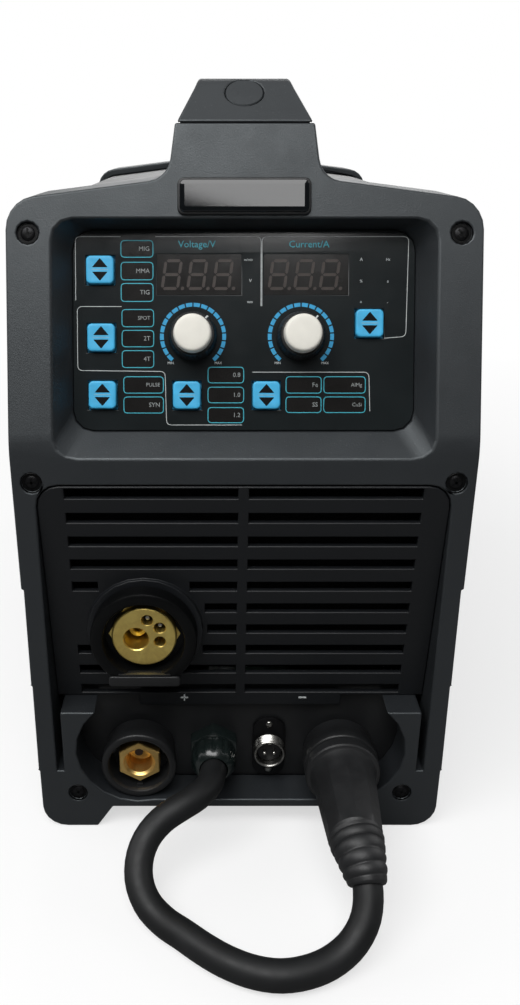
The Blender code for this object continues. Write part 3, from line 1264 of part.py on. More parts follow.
# ---------------------------------------------------------------- wire feed
def wire_spool():
    wall = PARTITION_X - SHEET - CLEAR
    hub_end = SPOOL_X - SPOOL_WIDTH - 0.0035
    hub = SPOOL_BORE - 2 * CLEAR
    screw = 0.006
    turned("spool_hub",
           [(0, -hub_end), (screw, -hub_end), (screw, -hub_end - 0.0105), (hub, -hub_end - 0.0105),
            (hub, -wall + HUB_FLANGE), (hub + 0.006, -wall + HUB_FLANGE), (hub + 0.006, -wall),
            (0, -wall)],
           black_plastic(), (0, SPOOL_Y, SPOOL_Z), LEFTWARD)
    near, far = -SPOOL_X, -SPOOL_X + SPOOL_WIDTH
    core = SPOOL_CORE
    spool = turned("wire_spool",
                   [(SPOOL_BORE, far), (SPOOL_RADIUS, far), (SPOOL_RADIUS, far - SPOOL_FLANGE),
                    (core, far - SPOOL_FLANGE), (core, near + SPOOL_FLANGE),
                    (SPOOL_RADIUS, near + SPOOL_FLANGE), (SPOOL_RADIUS, near), (SPOOL_BORE, near)],
                   black_plastic(), (0, SPOOL_Y, SPOOL_Z), LEFTWARD, closed=True, steps=28)
    rim = SPOOL_RADIUS - WINDOW_SHORT
    windows = [arc(0, 0, rim, a + 12, a + 78, 5) + arc(0, 0, core + 0.006, a + 66, a + 24, 3)
               for a in (0, 90, 180, 270)]
    cut(spool, plate_mesh("windows", windows, far - SPOOL_FLANGE - 0.001, far + CUT),
        (0, SPOOL_Y, SPOOL_Z), LEFTWARD)
    turned("wire_winding",
           [(core + CLEAR, far - SPOOL_FLANGE - CLEAR), (WIRE_RADIUS, far - SPOOL_FLANGE - CLEAR),
            (WIRE_RADIUS, near + SPOOL_FLANGE + CLEAR), (core + CLEAR, near + SPOOL_FLANGE + CLEAR)],
           material("copper_wire", (0.72, 0.38, 0.2), 0.3, 1.0), (0, SPOOL_Y, SPOOL_Z), LEFTWARD,
           closed=True, steps=28)
    turned("spool_nut",
           [(screw + CLEAR, far + 0.0075), (0.014, far + 0.0075), (0.021, far + 0.0055),
            (0.030, far + 0.005), (0.030, far + 2 * CLEAR), (screw + CLEAR, far + 2 * CLEAR)],
           black_plastic(), (0, SPOOL_Y, SPOOL_Z), LEFTWARD, closed=True)


def wire_feeder():
    plate_near = PARTITION_X - SHEET - CLEAR
    plate_far = plate_near - FEED_PLATE
    roll_z = WIRE_Z - ROLL_RADIUS - 0.0002
    bore = DRIVE_SHAFT + CLEAR
    pivot_y, pivot_z = ARM_PIVOT
    outline = filleted([(ROLL_Y - 0.028, roll_z - 0.022, 0.006), (pivot_y + 0.014, roll_z - 0.022, 0.006),
                        (pivot_y + 0.014, pivot_z + 0.012, 0.006), (pivot_y - 0.010, pivot_z + 0.012, 0.004),
                        (pivot_y - 0.026, WIRE_Z + 0.006, 0.004), (ROLL_Y - 0.028, WIRE_Z + 0.006, 0.006)])
    plate = add("feed_plate", plate_mesh("feed_plate", [outline, circle(ROLL_Y, roll_z, bore, 14)],
                                         plate_far, plate_near),
                black_plastic(), turn=SIDEWAYS)
    post_end = WIRE_X - ROLL_WIDTH / 2
    join(plate, rod_mesh("arm_post", 0.003, -plate_far - 0.002, -plate_far + ARM_THICK + 0.003, 12),
         (0, pivot_y, pivot_z), LEFTWARD)
    guide_low = WIRE_Z - 0.007
    join(plate, box_mesh("guide_block", post_end - 0.002, plate_far + 0.002, ROLL_Y + 0.017,
                         ROLL_Y + 0.029, guide_low, WIRE_Z + 0.004))
    cut(plate, rod_mesh("guide_hole", 0.0025, -ROLL_Y - 0.032, -ROLL_Y - 0.014, 10),
        (WIRE_X, 0, WIRE_Z), FRONT)

    roll_near, roll_far = -(WIRE_X + ROLL_WIDTH / 2), -(WIRE_X - ROLL_WIDTH / 2)
    groove = 0.0007
    turned("drive_roll",
           [(0, roll_far + 0.007), (0.009, roll_far + 0.007), (0.010, roll_far + 0.006),
            (0.010, roll_far), (ROLL_RADIUS, roll_far), (ROLL_RADIUS, -WIRE_X + groove),
            (ROLL_RADIUS - groove, -WIRE_X), (ROLL_RADIUS, -WIRE_X - groove),
            (ROLL_RADIUS, roll_near), (DRIVE_SHAFT, roll_near),
            (DRIVE_SHAFT, -PARTITION_X - 0.012), (0, -PARTITION_X - 0.012)],
           zinc(), (0, ROLL_Y, roll_z), LEFTWARD)

    arm_near = -plate_far + CLEAR
    arm_far = arm_near + ARM_THICK
    press_z = WIRE_Z + PRESS_RADIUS + 0.0002
    arm_outline = filleted([(pivot_y + 0.008, pivot_z - 0.008, 0.005),
                            (pivot_y + 0.008, pivot_z + 0.008, 0.005),
                            (ROLL_Y - 0.006, press_z + 0.014, 0.005),
                            (ROLL_Y - 0.024, press_z + 0.014, 0.005),
                            (ROLL_Y - 0.024, press_z + 0.006, 0.004),
                            (ROLL_Y - 0.008, press_z - 0.006, 0.003)], 2)
    arm = add("pressure_arm",
              plate_mesh("pressure_arm", [arm_outline, circle(pivot_y, pivot_z, 0.003 + CLEAR, 12)],
                         -arm_far, -arm_near),
              zinc(), turn=SIDEWAYS)
    join(arm, rod_mesh("axle", 0.003, arm_far - 0.001, roll_far + 0.002, 12),
         (0, ROLL_Y, press_z), LEFTWARD)
    turned("pressure_roll",
           [(0.003 + CLEAR, roll_far), (PRESS_RADIUS, roll_far), (PRESS_RADIUS, roll_near),
            (0.003 + CLEAR, roll_near)],
           zinc(), (0, ROLL_Y, press_z), LEFTWARD, closed=True)

    bolt_y = ROLL_Y - 0.019
    arm_top = press_z + 0.014
    turned("tension_knob",
           [(0, arm_top + 0.032), (0.007, arm_top + 0.032), (0.009, arm_top + 0.029),
            (0.009, arm_top + 0.012), (0.006, arm_top + 0.010), (0.006, arm_top + CLEAR),
            (0, arm_top + CLEAR)],
           material("red_plastic", (0.6, 0.02, 0.02), 0.35),
           (-(arm_near + arm_far) / 2, bolt_y, 0), steps=12)

    motor = add("feed_motor",
                rod_mesh("feed_motor", MOTOR_RADIUS, PARTITION_X + CLEAR,
                         PARTITION_X + CLEAR + MOTOR_LENGTH, 24),
                zinc(), (0, ROLL_Y, roll_z), SIDEWAYS)
    cut(motor, rod_mesh("bore", DRIVE_SHAFT + CLEAR, PARTITION_X - CUT, PARTITION_X + 0.015, 12),
        (0, ROLL_Y, roll_z), SIDEWAYS)


# ---------------------------------------------------------------- power stage
def power_stage():
    foot = TRAY_Z + SHEET
    board_z = foot + 0.006
    x0, x1 = PARTITION_X + 0.016, INNER_X - SHEET - 0.003
    y0, y1 = BEZEL_DEPTH + 0.010, REAR_FRONT - 0.020
    board = add("power_board", box_mesh("power_board", x0, x1, y0, y1, board_z, board_z + BOARD_THICK),
                green_board())
    posts = [moved(rod_mesh("post", 0.003, foot + CLEAR, board_z + 0.0005, 10), x, y)
             for x in (x0 + 0.006, x1 - 0.006) for y in (y0 + 0.006, y1 - 0.006)]
    join(board, merged("posts", posts))
    top = board_z + BOARD_THICK + CLEAR
    fins = 8
    width, height, base, fin = 0.078, 0.070, 0.006, 0.002
    gap = (width - fins * fin) / (fins - 1)
    outline = [(0, 0), (width, 0)]
    for i in range(fins):
        right = width - i * (fin + gap)
        outline += [(right, height), (right - fin, height)]
        if i < fins - 1:
            outline += [(right - fin, base), (right - fin - gap, base)]
    add("heat_sink", plate_mesh("heat_sink", [outline], -(y1 - 0.045), -(y0 + 0.080)),
        material("aluminium", (0.8, 0.81, 0.83), 0.35, 1.0), (x0 + 0.006, 0, top), FRONT)
    core = add("main_transformer",
               box_mesh("main_transformer", 0, 0.046, 0, 0.040, 0, 0.038),
               material("ferrite", (0.05, 0.05, 0.055), 0.6), (x1 - 0.056, y0 + 0.012, top))
    join(core, box_mesh("winding", -0.004, 0.050, 0.009, 0.031, 0.006, 0.032),
         (x1 - 0.056, y0 + 0.012, top))


def centre_on_base(loose):
    """Shift the welder along Y so that its middle lies over the origin."""
    bpy.context.view_layer.update()
    graph = bpy.context.evaluated_depsgraph_get()
    ys = []
    for piece in parts.objects:
        if piece.type == "MESH" and piece.name not in loose:
            shown = piece.evaluated_get(graph)
            ys += [(shown.matrix_world @ vert.co).y for vert in shown.data.vertices]
    root.location.y = -(min(ys) + max(ys)) / 2


def clear_scene():
    for item in list(bpy.data.objects):
        bpy.data.objects.remove(item)


def main():
    global parts, cutters, root
    clear_scene()
    parts = bpy.data.collections.new("mig_welder")
    cutters = bpy.data.collections.new("cutters")
    for group in (parts, cutters):
        bpy.context.scene.collection.children.link(group)
    root = bpy.data.objects.new("welder", None)
    parts.objects.link(root)

    frame = panel_frame()
    front_bezel(frame)
    front_grille()
    control_panel(frame)
    buttons(frame)
    knobs(frame)
    connectors()
    euro_connector()
    polarity_lead()
    carry_handle()
    rear_panel()
    fan()
    rear_fittings()
    sheet_cover()
    side_door()
    door_latches()
    base_tray()
    partition()
    wire_spool()
    wire_feeder()
    power_stage()
    shade_round_pieces()
    centre_on_base(("polarity_lead", "lead_plug"))


main()
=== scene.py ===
import json
import math

import bmesh
import bpy
from mathutils import Matrix, Vector

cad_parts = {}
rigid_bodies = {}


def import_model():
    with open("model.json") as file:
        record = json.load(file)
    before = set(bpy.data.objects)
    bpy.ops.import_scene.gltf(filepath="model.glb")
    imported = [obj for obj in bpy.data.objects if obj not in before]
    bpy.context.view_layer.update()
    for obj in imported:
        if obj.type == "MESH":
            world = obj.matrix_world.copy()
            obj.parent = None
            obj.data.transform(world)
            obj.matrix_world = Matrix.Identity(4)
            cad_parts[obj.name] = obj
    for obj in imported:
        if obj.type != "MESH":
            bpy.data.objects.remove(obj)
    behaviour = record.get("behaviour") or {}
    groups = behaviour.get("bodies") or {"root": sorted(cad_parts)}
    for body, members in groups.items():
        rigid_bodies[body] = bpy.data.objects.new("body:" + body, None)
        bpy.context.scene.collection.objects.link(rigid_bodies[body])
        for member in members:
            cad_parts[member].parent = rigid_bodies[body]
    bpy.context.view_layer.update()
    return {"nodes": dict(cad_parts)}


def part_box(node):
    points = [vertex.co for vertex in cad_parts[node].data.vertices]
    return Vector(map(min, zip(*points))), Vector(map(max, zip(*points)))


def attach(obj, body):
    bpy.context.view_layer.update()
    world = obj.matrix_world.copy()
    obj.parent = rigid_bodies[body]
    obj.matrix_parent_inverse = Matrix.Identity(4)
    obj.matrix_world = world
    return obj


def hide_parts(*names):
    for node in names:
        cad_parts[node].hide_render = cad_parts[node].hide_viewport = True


for leftOver in list(bpy.data.objects):
    bpy.data.objects.remove(leftOver)
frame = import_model()
nodes = frame["nodes"]
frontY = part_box("front_bezel")[0].y     # the lower front plane
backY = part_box("rear_panel")[1].y
stage = bpy.context.scene
print("frame loaded:", len(nodes), "nodes")


# ---- camera, at the photograph's height and pitch
cameraView = {"x": -0.0125, "ahead": 0.360, "z": 0.3236, "tilt": 67.8,
              "lens": 32.24, "shift": 0.045}
cameraData = bpy.data.cameras.new("camera")
cameraData.lens = cameraView["lens"]
cameraData.sensor_width = 36
cameraData.shift_x = cameraView["shift"]
cameraData.clip_start = 0.01
camera = bpy.data.objects.new("camera", cameraData)
camera.location = (cameraView["x"], frontY - cameraView["ahead"], cameraView["z"])
camera.rotation_euler = (math.radians(cameraView["tilt"]), 0, 0)
stage.collection.objects.link(camera)
stage.camera = camera


# ---- where things are: frames whose local Z looks outwards
upright = Matrix.Rotation(math.radians(90), 4, "X")
lean = {"angle": 18.9, "originY": 0.01255, "originZ": 0.2007, "faceUp": 0.012}
panelSpace = (Matrix.Translation((0, frontY + lean["originY"], lean["originZ"]))
              @ Matrix.Rotation(math.radians(90 - lean["angle"]), 4, "X"))


def onFront(x, z, ahead=0.0):
    return Matrix.Translation((x, frontY - ahead, z)) @ upright


def onBack(x, z, behind=0.0):
    return (Matrix.Translation((x, backY + behind, z))
            @ Matrix.Rotation(math.pi, 4, "Z") @ upright)


def onLeft(x, y, z):
    return Matrix.Translation((x, y, z)) @ Matrix.Rotation(math.radians(-90), 4, "Z") @ upright


def shift(x=0.0, y=0.0, z=0.0):
    return Matrix.Translation((x, y, z))


def turnZ(degrees):
    return Matrix.Rotation(math.radians(degrees), 4, "Z")


# ---- node helpers for the finishes
def link(tree, start, end):
    tree.links.new(start, end)


# object coordinates, centred first and then stretched
def objectPlace(tree, centre=(0, 0, 0), stretch=(1, 1, 1)):
    place = tree.nodes.new("ShaderNodeTexCoord")
    mapping = tree.nodes.new("ShaderNodeMapping")
    shiftNode = tree.nodes.new("ShaderNodeVectorMath")
    shiftNode.operation = "SUBTRACT"
    shiftNode.inputs[1].default_value = centre
    link(tree, place.outputs["Object"], shiftNode.inputs[0])
    link(tree, shiftNode.outputs[0], mapping.inputs["Vector"])
    mapping.inputs["Scale"].default_value = stretch
    return mapping.outputs["Vector"]


def noise(tree, vector, scale, detail=3.0, roughness=0.5, distortion=0.0):
    cloud = tree.nodes.new("ShaderNodeTexNoise")
    cloud.inputs["Scale"].default_value = scale
    cloud.inputs["Detail"].default_value = detail
    cloud.inputs["Roughness"].default_value = roughness
    cloud.inputs["Distortion"].default_value = distortion
    link(tree, vector, cloud.inputs["Vector"])
    return cloud.outputs[0]


def ranged(tree, value, low, high, fromLow=0.3, fromHigh=0.7):
    between = tree.nodes.new("ShaderNodeMapRange")
    between.inputs["From Min"].default_value = fromLow
    between.inputs["From Max"].default_value = fromHigh
    between.inputs["To Min"].default_value = low
    between.inputs["To Max"].default_value = high
    link(tree, value, between.inputs["Value"])
    return between.outputs["Result"]


def blended(tree, factor, first, second):
    mix = tree.nodes.new("ShaderNodeMix")
    mix.data_type = "RGBA"
    link(tree, factor, mix.inputs[0])
    for socket, value in ((mix.inputs[6], first), (mix.inputs[7], second)):
        if isinstance(value, tuple):
            socket.default_value = value + (1.0,)
        else:
            link(tree, value, socket)
    return mix.outputs[2]


def bumped(tree, height, depth, under=None):
    bump = tree.nodes.new("ShaderNodeBump")
    bump.inputs["Strength"].default_value = 1.0
    bump.inputs["Distance"].default_value = depth
    link(tree, height, bump.inputs["Height"])
    if under is not None:
        link(tree, under, bump.inputs["Normal"])
    return bump.outputs["Normal"]


def tones(colour, spread):
    return (tuple(max(c * (1 - spread), 0) for c in colour),
            tuple(min(c * (1 + spread), 1) for c in colour))


def finishBase(name, values):
    look = bpy.data.materials.new(name)
    look.use_nodes = True
    tree = look.node_tree
    shader = tree.nodes["Principled BSDF"]
    shader.inputs["Metallic"].default_value = values.get("metal", 0.0)
    shader.inputs["Specular IOR Level"].default_value = values.get("specular", 0.5)
    shader.inputs["Specular Tint"].default_value = values.get("tint", (1, 1, 1)) + (1,)
    return look, tree, shader


# slow tone changes, a rougher or smoother patch here and there, and a fine skin
def mouldedLook(name, values):
    look, tree, shader = finishBase(name, values)
    place = objectPlace(tree, stretch=values.get("stretch", (1, 1, 1)))
    slow = noise(tree, place, values.get("patch", 24), 4)
    dark, light = tones(values["colour"], values.get("spread", 0.12))
    link(tree, blended(tree, ranged(tree, slow, 0, 1), dark, light), shader.inputs["Base Color"])
    rough = values["rough"]
    link(tree, ranged(tree, noise(tree, place, values.get("patch", 24) * 3.1, 5, 0.6),
                      rough * 0.88, rough * 1.14), shader.inputs["Roughness"])
    skin = noise(tree, place, values["grain"], 2, 0.6)
    normal = bumped(tree, skin, values["grainDepth"])
    if "peel" in values:                # the slow swells of a sprayed or moulded skin
        normal = bumped(tree, noise(tree, place, values["peel"], 2), values["peelDepth"], normal)
    link(tree, normal, shader.inputs["Normal"])
    return look


# metal cut on a lathe: fine rings round an axis through a centre
def turnedLook(name, values, centre, axis="Y"):
    look, tree, shader = finishBase(name, values)
    place = objectPlace(tree, centre=centre)
    rings = tree.nodes.new("ShaderNodeTexWave")
    rings.wave_type = "RINGS"
    rings.rings_direction = axis
    rings.inputs["Scale"].default_value = values.get("rings", 900)
    rings.inputs["Distortion"].default_value = 0.6
    rings.inputs["Detail"].default_value = 2
    link(tree, place, rings.inputs["Vector"])
    tarnish = noise(tree, place, values.get("patch", 140), 5, 0.65, 0.6)
    dark, light = tones(values["colour"], values.get("spread", 0.16))
    link(tree, blended(tree, ranged(tree, tarnish, 0, 1), dark, light), shader.inputs["Base Color"])
    link(tree, ranged(tree, tarnish, values["rough"] * 1.35, values["rough"] * 0.75),
         shader.inputs["Roughness"])
    link(tree, bumped(tree, rings.outputs[1], values.get("ringDepth", 0.000012)), shader.inputs["Normal"])
    return look


# metal with a drawn or rolled direction
def brushedLook(name, values):
    look, tree, shader = finishBase(name, values)
    place = objectPlace(tree, stretch=values["stretch"])
    streak = noise(tree, place, values["streak"], 4, 0.6)
    plain = objectPlace(tree)
    cloud = noise(tree, plain, values.get("patch", 30), 5, 0.6)
    dark, light = tones(values["colour"], values.get("spread", 0.12))
    link(tree, blended(tree, ranged(tree, cloud, 0, 1), dark, light), shader.inputs["Base Color"])
    link(tree, ranged(tree, streak, values["rough"] * 0.8, values["rough"] * 1.25),
         shader.inputs["Roughness"])
    link(tree, bumped(tree, streak, values["streakDepth"]), shader.inputs["Normal"])
    return look


# screen ink: a flat film with slight unevenness
def inkLook(name, colour, rough=0.5, gleam=0.35):
    look, tree, shader = finishBase(name, {"specular": gleam})
    place = objectPlace(tree)
    speck = noise(tree, place, 900, 3)
    dark, light = tones(colour, 0.10)
    link(tree, blended(tree, ranged(tree, speck, 0, 1), dark, light), shader.inputs["Base Color"])
    link(tree, ranged(tree, speck, rough * 0.85, rough * 1.15), shader.inputs["Roughness"])
    return look


# the pale grey of the specks that paint sparkle on upward faces
sparkleGrey = (0.22, 0.23, 0.23)


# moulded charcoal case, with painted sparkle: pale specks on what faces up, where the light falls
def caseLook(name, values):
    look, tree, shader = finishBase(name, values)
    place = objectPlace(tree)
    slow = noise(tree, place, 17, 4)
    dark, light = tones(values["colour"], 0.10)
    tone = blended(tree, ranged(tree, slow, 0, 1), dark, light)
    facing = tree.nodes.new("ShaderNodeNewGeometry")
    parts = tree.nodes.new("ShaderNodeSeparateXYZ")
    link(tree, facing.outputs["Normal"], parts.inputs[0])
    speck = tree.nodes.new("ShaderNodeTexVoronoi")
    speck.inputs["Scale"].default_value = values["sparkleScale"]
    link(tree, place, speck.inputs["Vector"])
    # pale specks, only on faces that point up: painted sparkle
    sparkle = tree.nodes.new("ShaderNodeMath")
    sparkle.operation = "MULTIPLY"
    link(tree, ranged(tree, speck.outputs["Distance"], 1, 0, 0.04, 0.12), sparkle.inputs[0])
    upward = ranged(tree, parts.outputs["Z"], 0.0, values["sparkle"], 0.25, 0.9)
    link(tree, upward, sparkle.inputs[1])
    link(tree, blended(tree, sparkle.outputs[0], tone, sparkleGrey), shader.inputs["Base Color"])
    link(tree, ranged(tree, noise(tree, place, 60, 5, 0.65), values["rough"] * 0.9,
                      values["rough"] * 1.12), shader.inputs["Roughness"])
    grain = noise(tree, place, values["grain"], 2, 0.6)
    swell = bumped(tree, noise(tree, place, 130, 2), values["swellDepth"])
    link(tree, bumped(tree, grain, values["grainDepth"], swell), shader.inputs["Normal"])
    return look


finishes = {
    "case": {"colour": (0.0122, 0.0138, 0.0160), "rough": 0.48, "specular": 0.8, "grain": 1700,
             "tint": (0.90, 0.97, 1.0),
             "grainDepth": 0.00006, "swellDepth": 0.00005, "sparkleScale": 420, "sparkle": 0.30},
    "grille": {"colour": (0.0075, 0.0085, 0.0100), "rough": 0.46, "specular": 0.32, "grain": 2600,
               "grainDepth": 0.00003, "swellDepth": 0.00004, "sparkleScale": 420, "sparkle": 0.25},
    "panelFilm": {"colour": (0.0120, 0.0150, 0.0160), "rough": 0.17, "specular": 0.4, "grain": 3400,
                  "grainDepth": 0.000006, "patch": 40, "peel": 90, "peelDepth": 0.00002},
    "badge": {"colour": (0.005, 0.006, 0.007), "rough": 0.05, "specular": 0.5, "grain": 2600,
              "grainDepth": 0.000004, "patch": 60},
    "lens": {"colour": (0.0118, 0.0112, 0.0108), "rough": 0.17, "specular": 0.45, "grain": 3000,
             "grainDepth": 0.000006, "patch": 70},
    "button": {"colour": (0.055, 0.42, 0.72), "rough": 0.40, "specular": 0.4, "grain": 3000,
               "grainDepth": 0.00002, "patch": 220, "spread": 0.10},
    "black": {"colour": (0.0105, 0.0110, 0.0118), "rough": 0.40, "specular": 0.4, "grain": 2600,
              "grainDepth": 0.00003, "patch": 45, "spread": 0.18},
    # near black: the torch flange's own colour, and painted shade in screw slots, screw wells, handle seams
    # and empty bores
    "shadeAndDeepBlack": {"colour": (0.0028, 0.0030, 0.0032), "rough": 0.36, "specular": 0.14, "grain": 2400,
                  "grainDepth": 0.00003, "patch": 60, "spread": 0.2},
    "cream": {"colour": (0.78, 0.76, 0.69), "rough": 0.55, "specular": 0.4, "grain": 2600,
              "grainDepth": 0.00003, "patch": 120, "spread": 0.05},
    "rubber": {"colour": (0.0090, 0.0096, 0.0102), "rough": 0.52, "specular": 0.32, "grain": 1700,
               "grainDepth": 0.00003, "patch": 50, "spread": 0.25, "peel": 160, "peelDepth": 0.00006},
    "boot": {"colour": (0.0118, 0.0123, 0.0132), "rough": 0.46, "specular": 0.45, "grain": 1800,
             "grainDepth": 0.00005, "patch": 60, "spread": 0.22},
    "gland": {"colour": (0.0080, 0.0120, 0.0115), "rough": 0.20, "specular": 0.6, "grain": 1800,
              "grainDepth": 0.00002, "patch": 80, "spread": 0.2},
    "powderCoat": {"colour": (0.0120, 0.0125, 0.0130), "rough": 0.42, "specular": 0.5, "grain": 1500,
                   "grainDepth": 0.00004, "patch": 14, "peel": 420, "peelDepth": 0.00009},
    "brass": {"colour": (0.92, 0.68, 0.21), "rough": 0.40, "metal": 1.0, "rings": 700},
    "contactBrass": {"colour": (0.88, 0.59, 0.21), "rough": 0.40, "metal": 1.0, "rings": 700},
    "nickel": {"colour": (0.36, 0.355, 0.335), "rough": 0.26, "metal": 1.0, "rings": 900},
    "zinc": {"colour": (0.52, 0.54, 0.53), "rough": 0.36, "metal": 1.0, "stretch": (1, 14, 1),
             "streak": 90, "streakDepth": 0.00002, "patch": 26, "spread": 0.14},
    "screw": {"colour": (0.030, 0.031, 0.033), "rough": 0.42, "metal": 0.7, "stretch": (1, 1, 1),
              "streak": 900, "streakDepth": 0.00002, "patch": 300, "spread": 0.3},
    # the screw metal darkened: painted shade for the screws deep in the front wells and for the remote
    # socket's flange
    "screwMetalInShade": {"colour": (0.010, 0.010, 0.011), "rough": 0.42, "metal": 0.7, "stretch": (1, 1, 1),
                  "streak": 900, "streakDepth": 0.00002, "patch": 300, "spread": 0.3},
    # the dark sheet of painted shade behind the grille's slots
    "interiorShade": {"colour": (0.0028, 0.0030, 0.0032), "rough": 0.9, "specular": 0.14, "grain": 700,
               "grainDepth": 0.0002, "patch": 60, "spread": 0.2},
    "aluminium": {"colour": (0.66, 0.67, 0.68), "rough": 0.34, "metal": 1.0, "stretch": (18, 1, 18),
                  "streak": 60, "streakDepth": 0.00002, "patch": 18, "spread": 0.08},
    # near-black metal for the heat sink: painted shade of the case's inside
    "heatSinkShadeBlack": {"colour": (0.012, 0.012, 0.013), "rough": 0.34, "metal": 1.0,
                      "stretch": (18, 1, 18), "streak": 60, "streakDepth": 0.00002, "patch": 18,
                      "spread": 0.08},
    "red": {"colour": (0.55, 0.020, 0.016), "rough": 0.36, "specular": 0.45, "grain": 2200,
            "grainDepth": 0.00002, "patch": 90, "spread": 0.12},
    "rollSteel": {"colour": (0.44, 0.45, 0.45), "rough": 0.30, "metal": 1.0, "rings": 420,
                  "ringDepth": 0.000005, "spread": 0.05, "patch": 60},
    "copperWire": {"colour": (0.72, 0.38, 0.21), "rough": 0.32, "metal": 1.0, "rings": 260,
                   "ringDepth": 0.00006, "spread": 0.06, "patch": 40},
    "board": {"colour": (0.018, 0.105, 0.050), "rough": 0.32, "specular": 0.5, "grain": 1500,
              "grainDepth": 0.00004, "patch": 60},
    "ferrite": {"colour": (0.050, 0.048, 0.046), "rough": 0.62, "specular": 0.4, "grain": 1400,
                "grainDepth": 0.00008, "patch": 60, "spread": 0.2},
    "tape": {"colour": (0.72, 0.42, 0.05), "rough": 0.42, "specular": 0.45, "grain": 900,
             "grainDepth": 0.00003, "patch": 60, "spread": 0.12},
    "hubPlastic": {"colour": (0.055, 0.060, 0.064), "rough": 0.30, "specular": 0.5, "grain": 2200,
                   "grainDepth": 0.00002, "patch": 40, "spread": 0.15},
}
casePlastic = caseLook("casePlastic", finishes["case"])
grillePlastic = caseLook("grillePlastic", finishes["grille"])
panelFilm = mouldedLook("panelFilm", finishes["panelFilm"])
badgeGloss = mouldedLook("badgeGloss", finishes["badge"])
displayLens = mouldedLook("displayLens", finishes["lens"])
buttonBlue = mouldedLook("buttonBlue", finishes["button"])
fittingBlack = mouldedLook("fittingBlack", finishes["black"])
shadeAndDeepBlack = mouldedLook("shadeAndDeepBlack", finishes["shadeAndDeepBlack"])
slotShadeFinish = mouldedLook("slotShadeFinish", finishes["interiorShade"])
capCream = mouldedLook("capCream", finishes["cream"])
leadRubber = mouldedLook("leadRubber", finishes["rubber"])
bootRubber = mouldedLook("bootRubber", finishes["boot"])
glandGloss = mouldedLook("glandGloss", finishes["gland"])
powderCoat = mouldedLook("powderCoat", finishes["powderCoat"])
zincPlate = brushedLook("zincPlate", finishes["zinc"])
blackScrew = brushedLook("blackScrew", finishes["screw"])
screwMetalInShade = brushedLook("screwMetalInShade", finishes["screwMetalInShade"])
aluminium = brushedLook("aluminium", finishes["aluminium"])
heatSinkShadeBlack = brushedLook("heatSinkShadeBlack", finishes["heatSinkShadeBlack"])
boardGreen = mouldedLook("boardGreen", finishes["board"])
switchRed = mouldedLook("switchRed", finishes["red"])
ferriteGrey = mouldedLook("ferriteGrey", finishes["ferrite"])
coilTape = mouldedLook("coilTape", finishes["tape"])
hubPlastic = mouldedLook("hubPlastic", finishes["hubPlastic"])
whiteInk = inkLook("whiteInk", (0.55, 0.58, 0.58))
dimInk = inkLook("dimInk", (0.27, 0.29, 0.29))
tealInk = inkLook("tealInk", (0.050, 0.40, 0.50))
blueInk = inkLook("blueInk", (0.035, 0.33, 0.60))
paleInk = inkLook("paleInk", (0.20, 0.42, 0.55))
blackInk = inkLook("blackInk", (0.003, 0.004, 0.005), 0.6, 0.12)
# dark brown painted shade for the notch in the brass contacts
notchShadeInk = inkLook("notchShadeInk", (0.020, 0.009, 0.004))
dimSegment = inkLook("dimSegment", (0.040, 0.031, 0.027), 0.35)
print("finishes made")


# ---- mesh helpers
# a bmesh becomes a visible piece: shaded smooth up to an angle, on its body, and the nodes that it
# stands for are hidden
def finishPiece(bm, name, body, look, stands=(), sharp=35, turnOut=True):
    if turnOut:
        bmesh.ops.recalc_face_normals(bm, faces=bm.faces)
    mesh = bpy.data.meshes.new(name)
    bm.to_mesh(mesh)
    bm.free()
    mesh.materials.append(look)
    mesh.shade_smooth()
    mesh.set_sharp_from_angle(angle=math.radians(sharp))
    piece = bpy.data.objects.new(name, mesh)
    stage.collection.objects.link(piece)
    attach(piece, body)
    if stands:
        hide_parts(*stands)
    return piece


# moulded and folded edges are never sharp: a narrow bevel where faces meet at more than the angle
def softEdges(piece, width, steps, angle):
    bevel = piece.modifiers.new("softEdges", "BEVEL")
    bevel.width = width
    bevel.segments = steps
    bevel.limit_method = "ANGLE"
    bevel.angle_limit = math.radians(angle)
    bevel.use_clamp_overlap = False
    bevel.loop_slide = False
    level = piece.modifiers.new("evenShading", "WEIGHTED_NORMAL")
    level.keep_sharp = True
    level.weight = 60


weldDistance = 3e-6
flatAngle = 0.002           # radians between two faces of one plane


# a CAD solid taken over as it is, with its edges broken as on the real piece; merge joins nearly flat
# faces, and evened lays the triangles of flat faces anew, so that the bevel folds none of them
def refined(node, look, body="case", edge=0.0005, steps=2, sharp=34, merge=0.0, evened=False):
    bm = bmesh.new()
    bm.from_mesh(nodes[node].data)
    bmesh.ops.remove_doubles(bm, verts=bm.verts, dist=weldDistance)
    if evened:
        flat = [e for e in bm.edges if len(e.link_faces) == 2 and e.calc_face_angle() < flatAngle]
        bmesh.ops.beautify_fill(bm, faces=bm.faces, edges=flat, method="ANGLE")
    if merge:
        bmesh.ops.dissolve_limit(bm, angle_limit=math.radians(merge), use_dissolve_boundaries=False,
                                 verts=bm.verts, edges=bm.edges)
    piece = finishPiece(bm, node + ".shell", body, look, (node,), sharp, turnOut=False)
    if "custom_normal" in piece.data.attributes:
        piece.data.attributes.remove(piece.data.attributes["custom_normal"])
    if edge:
        softEdges(piece, edge, steps, sharp)


# adds one bmesh to another and frees it
def addTo(target, source, matrix=None):
    mesh = bpy.data.meshes.new("passing")
    source.to_mesh(mesh)
    if matrix is not None:
        mesh.transform(matrix)
    target.from_mesh(mesh)
    bpy.data.meshes.remove(mesh)
    source.free()


def moveAll(bm, matrix):
    bmesh.ops.transform(bm, matrix=matrix, verts=bm.verts)
    return bm


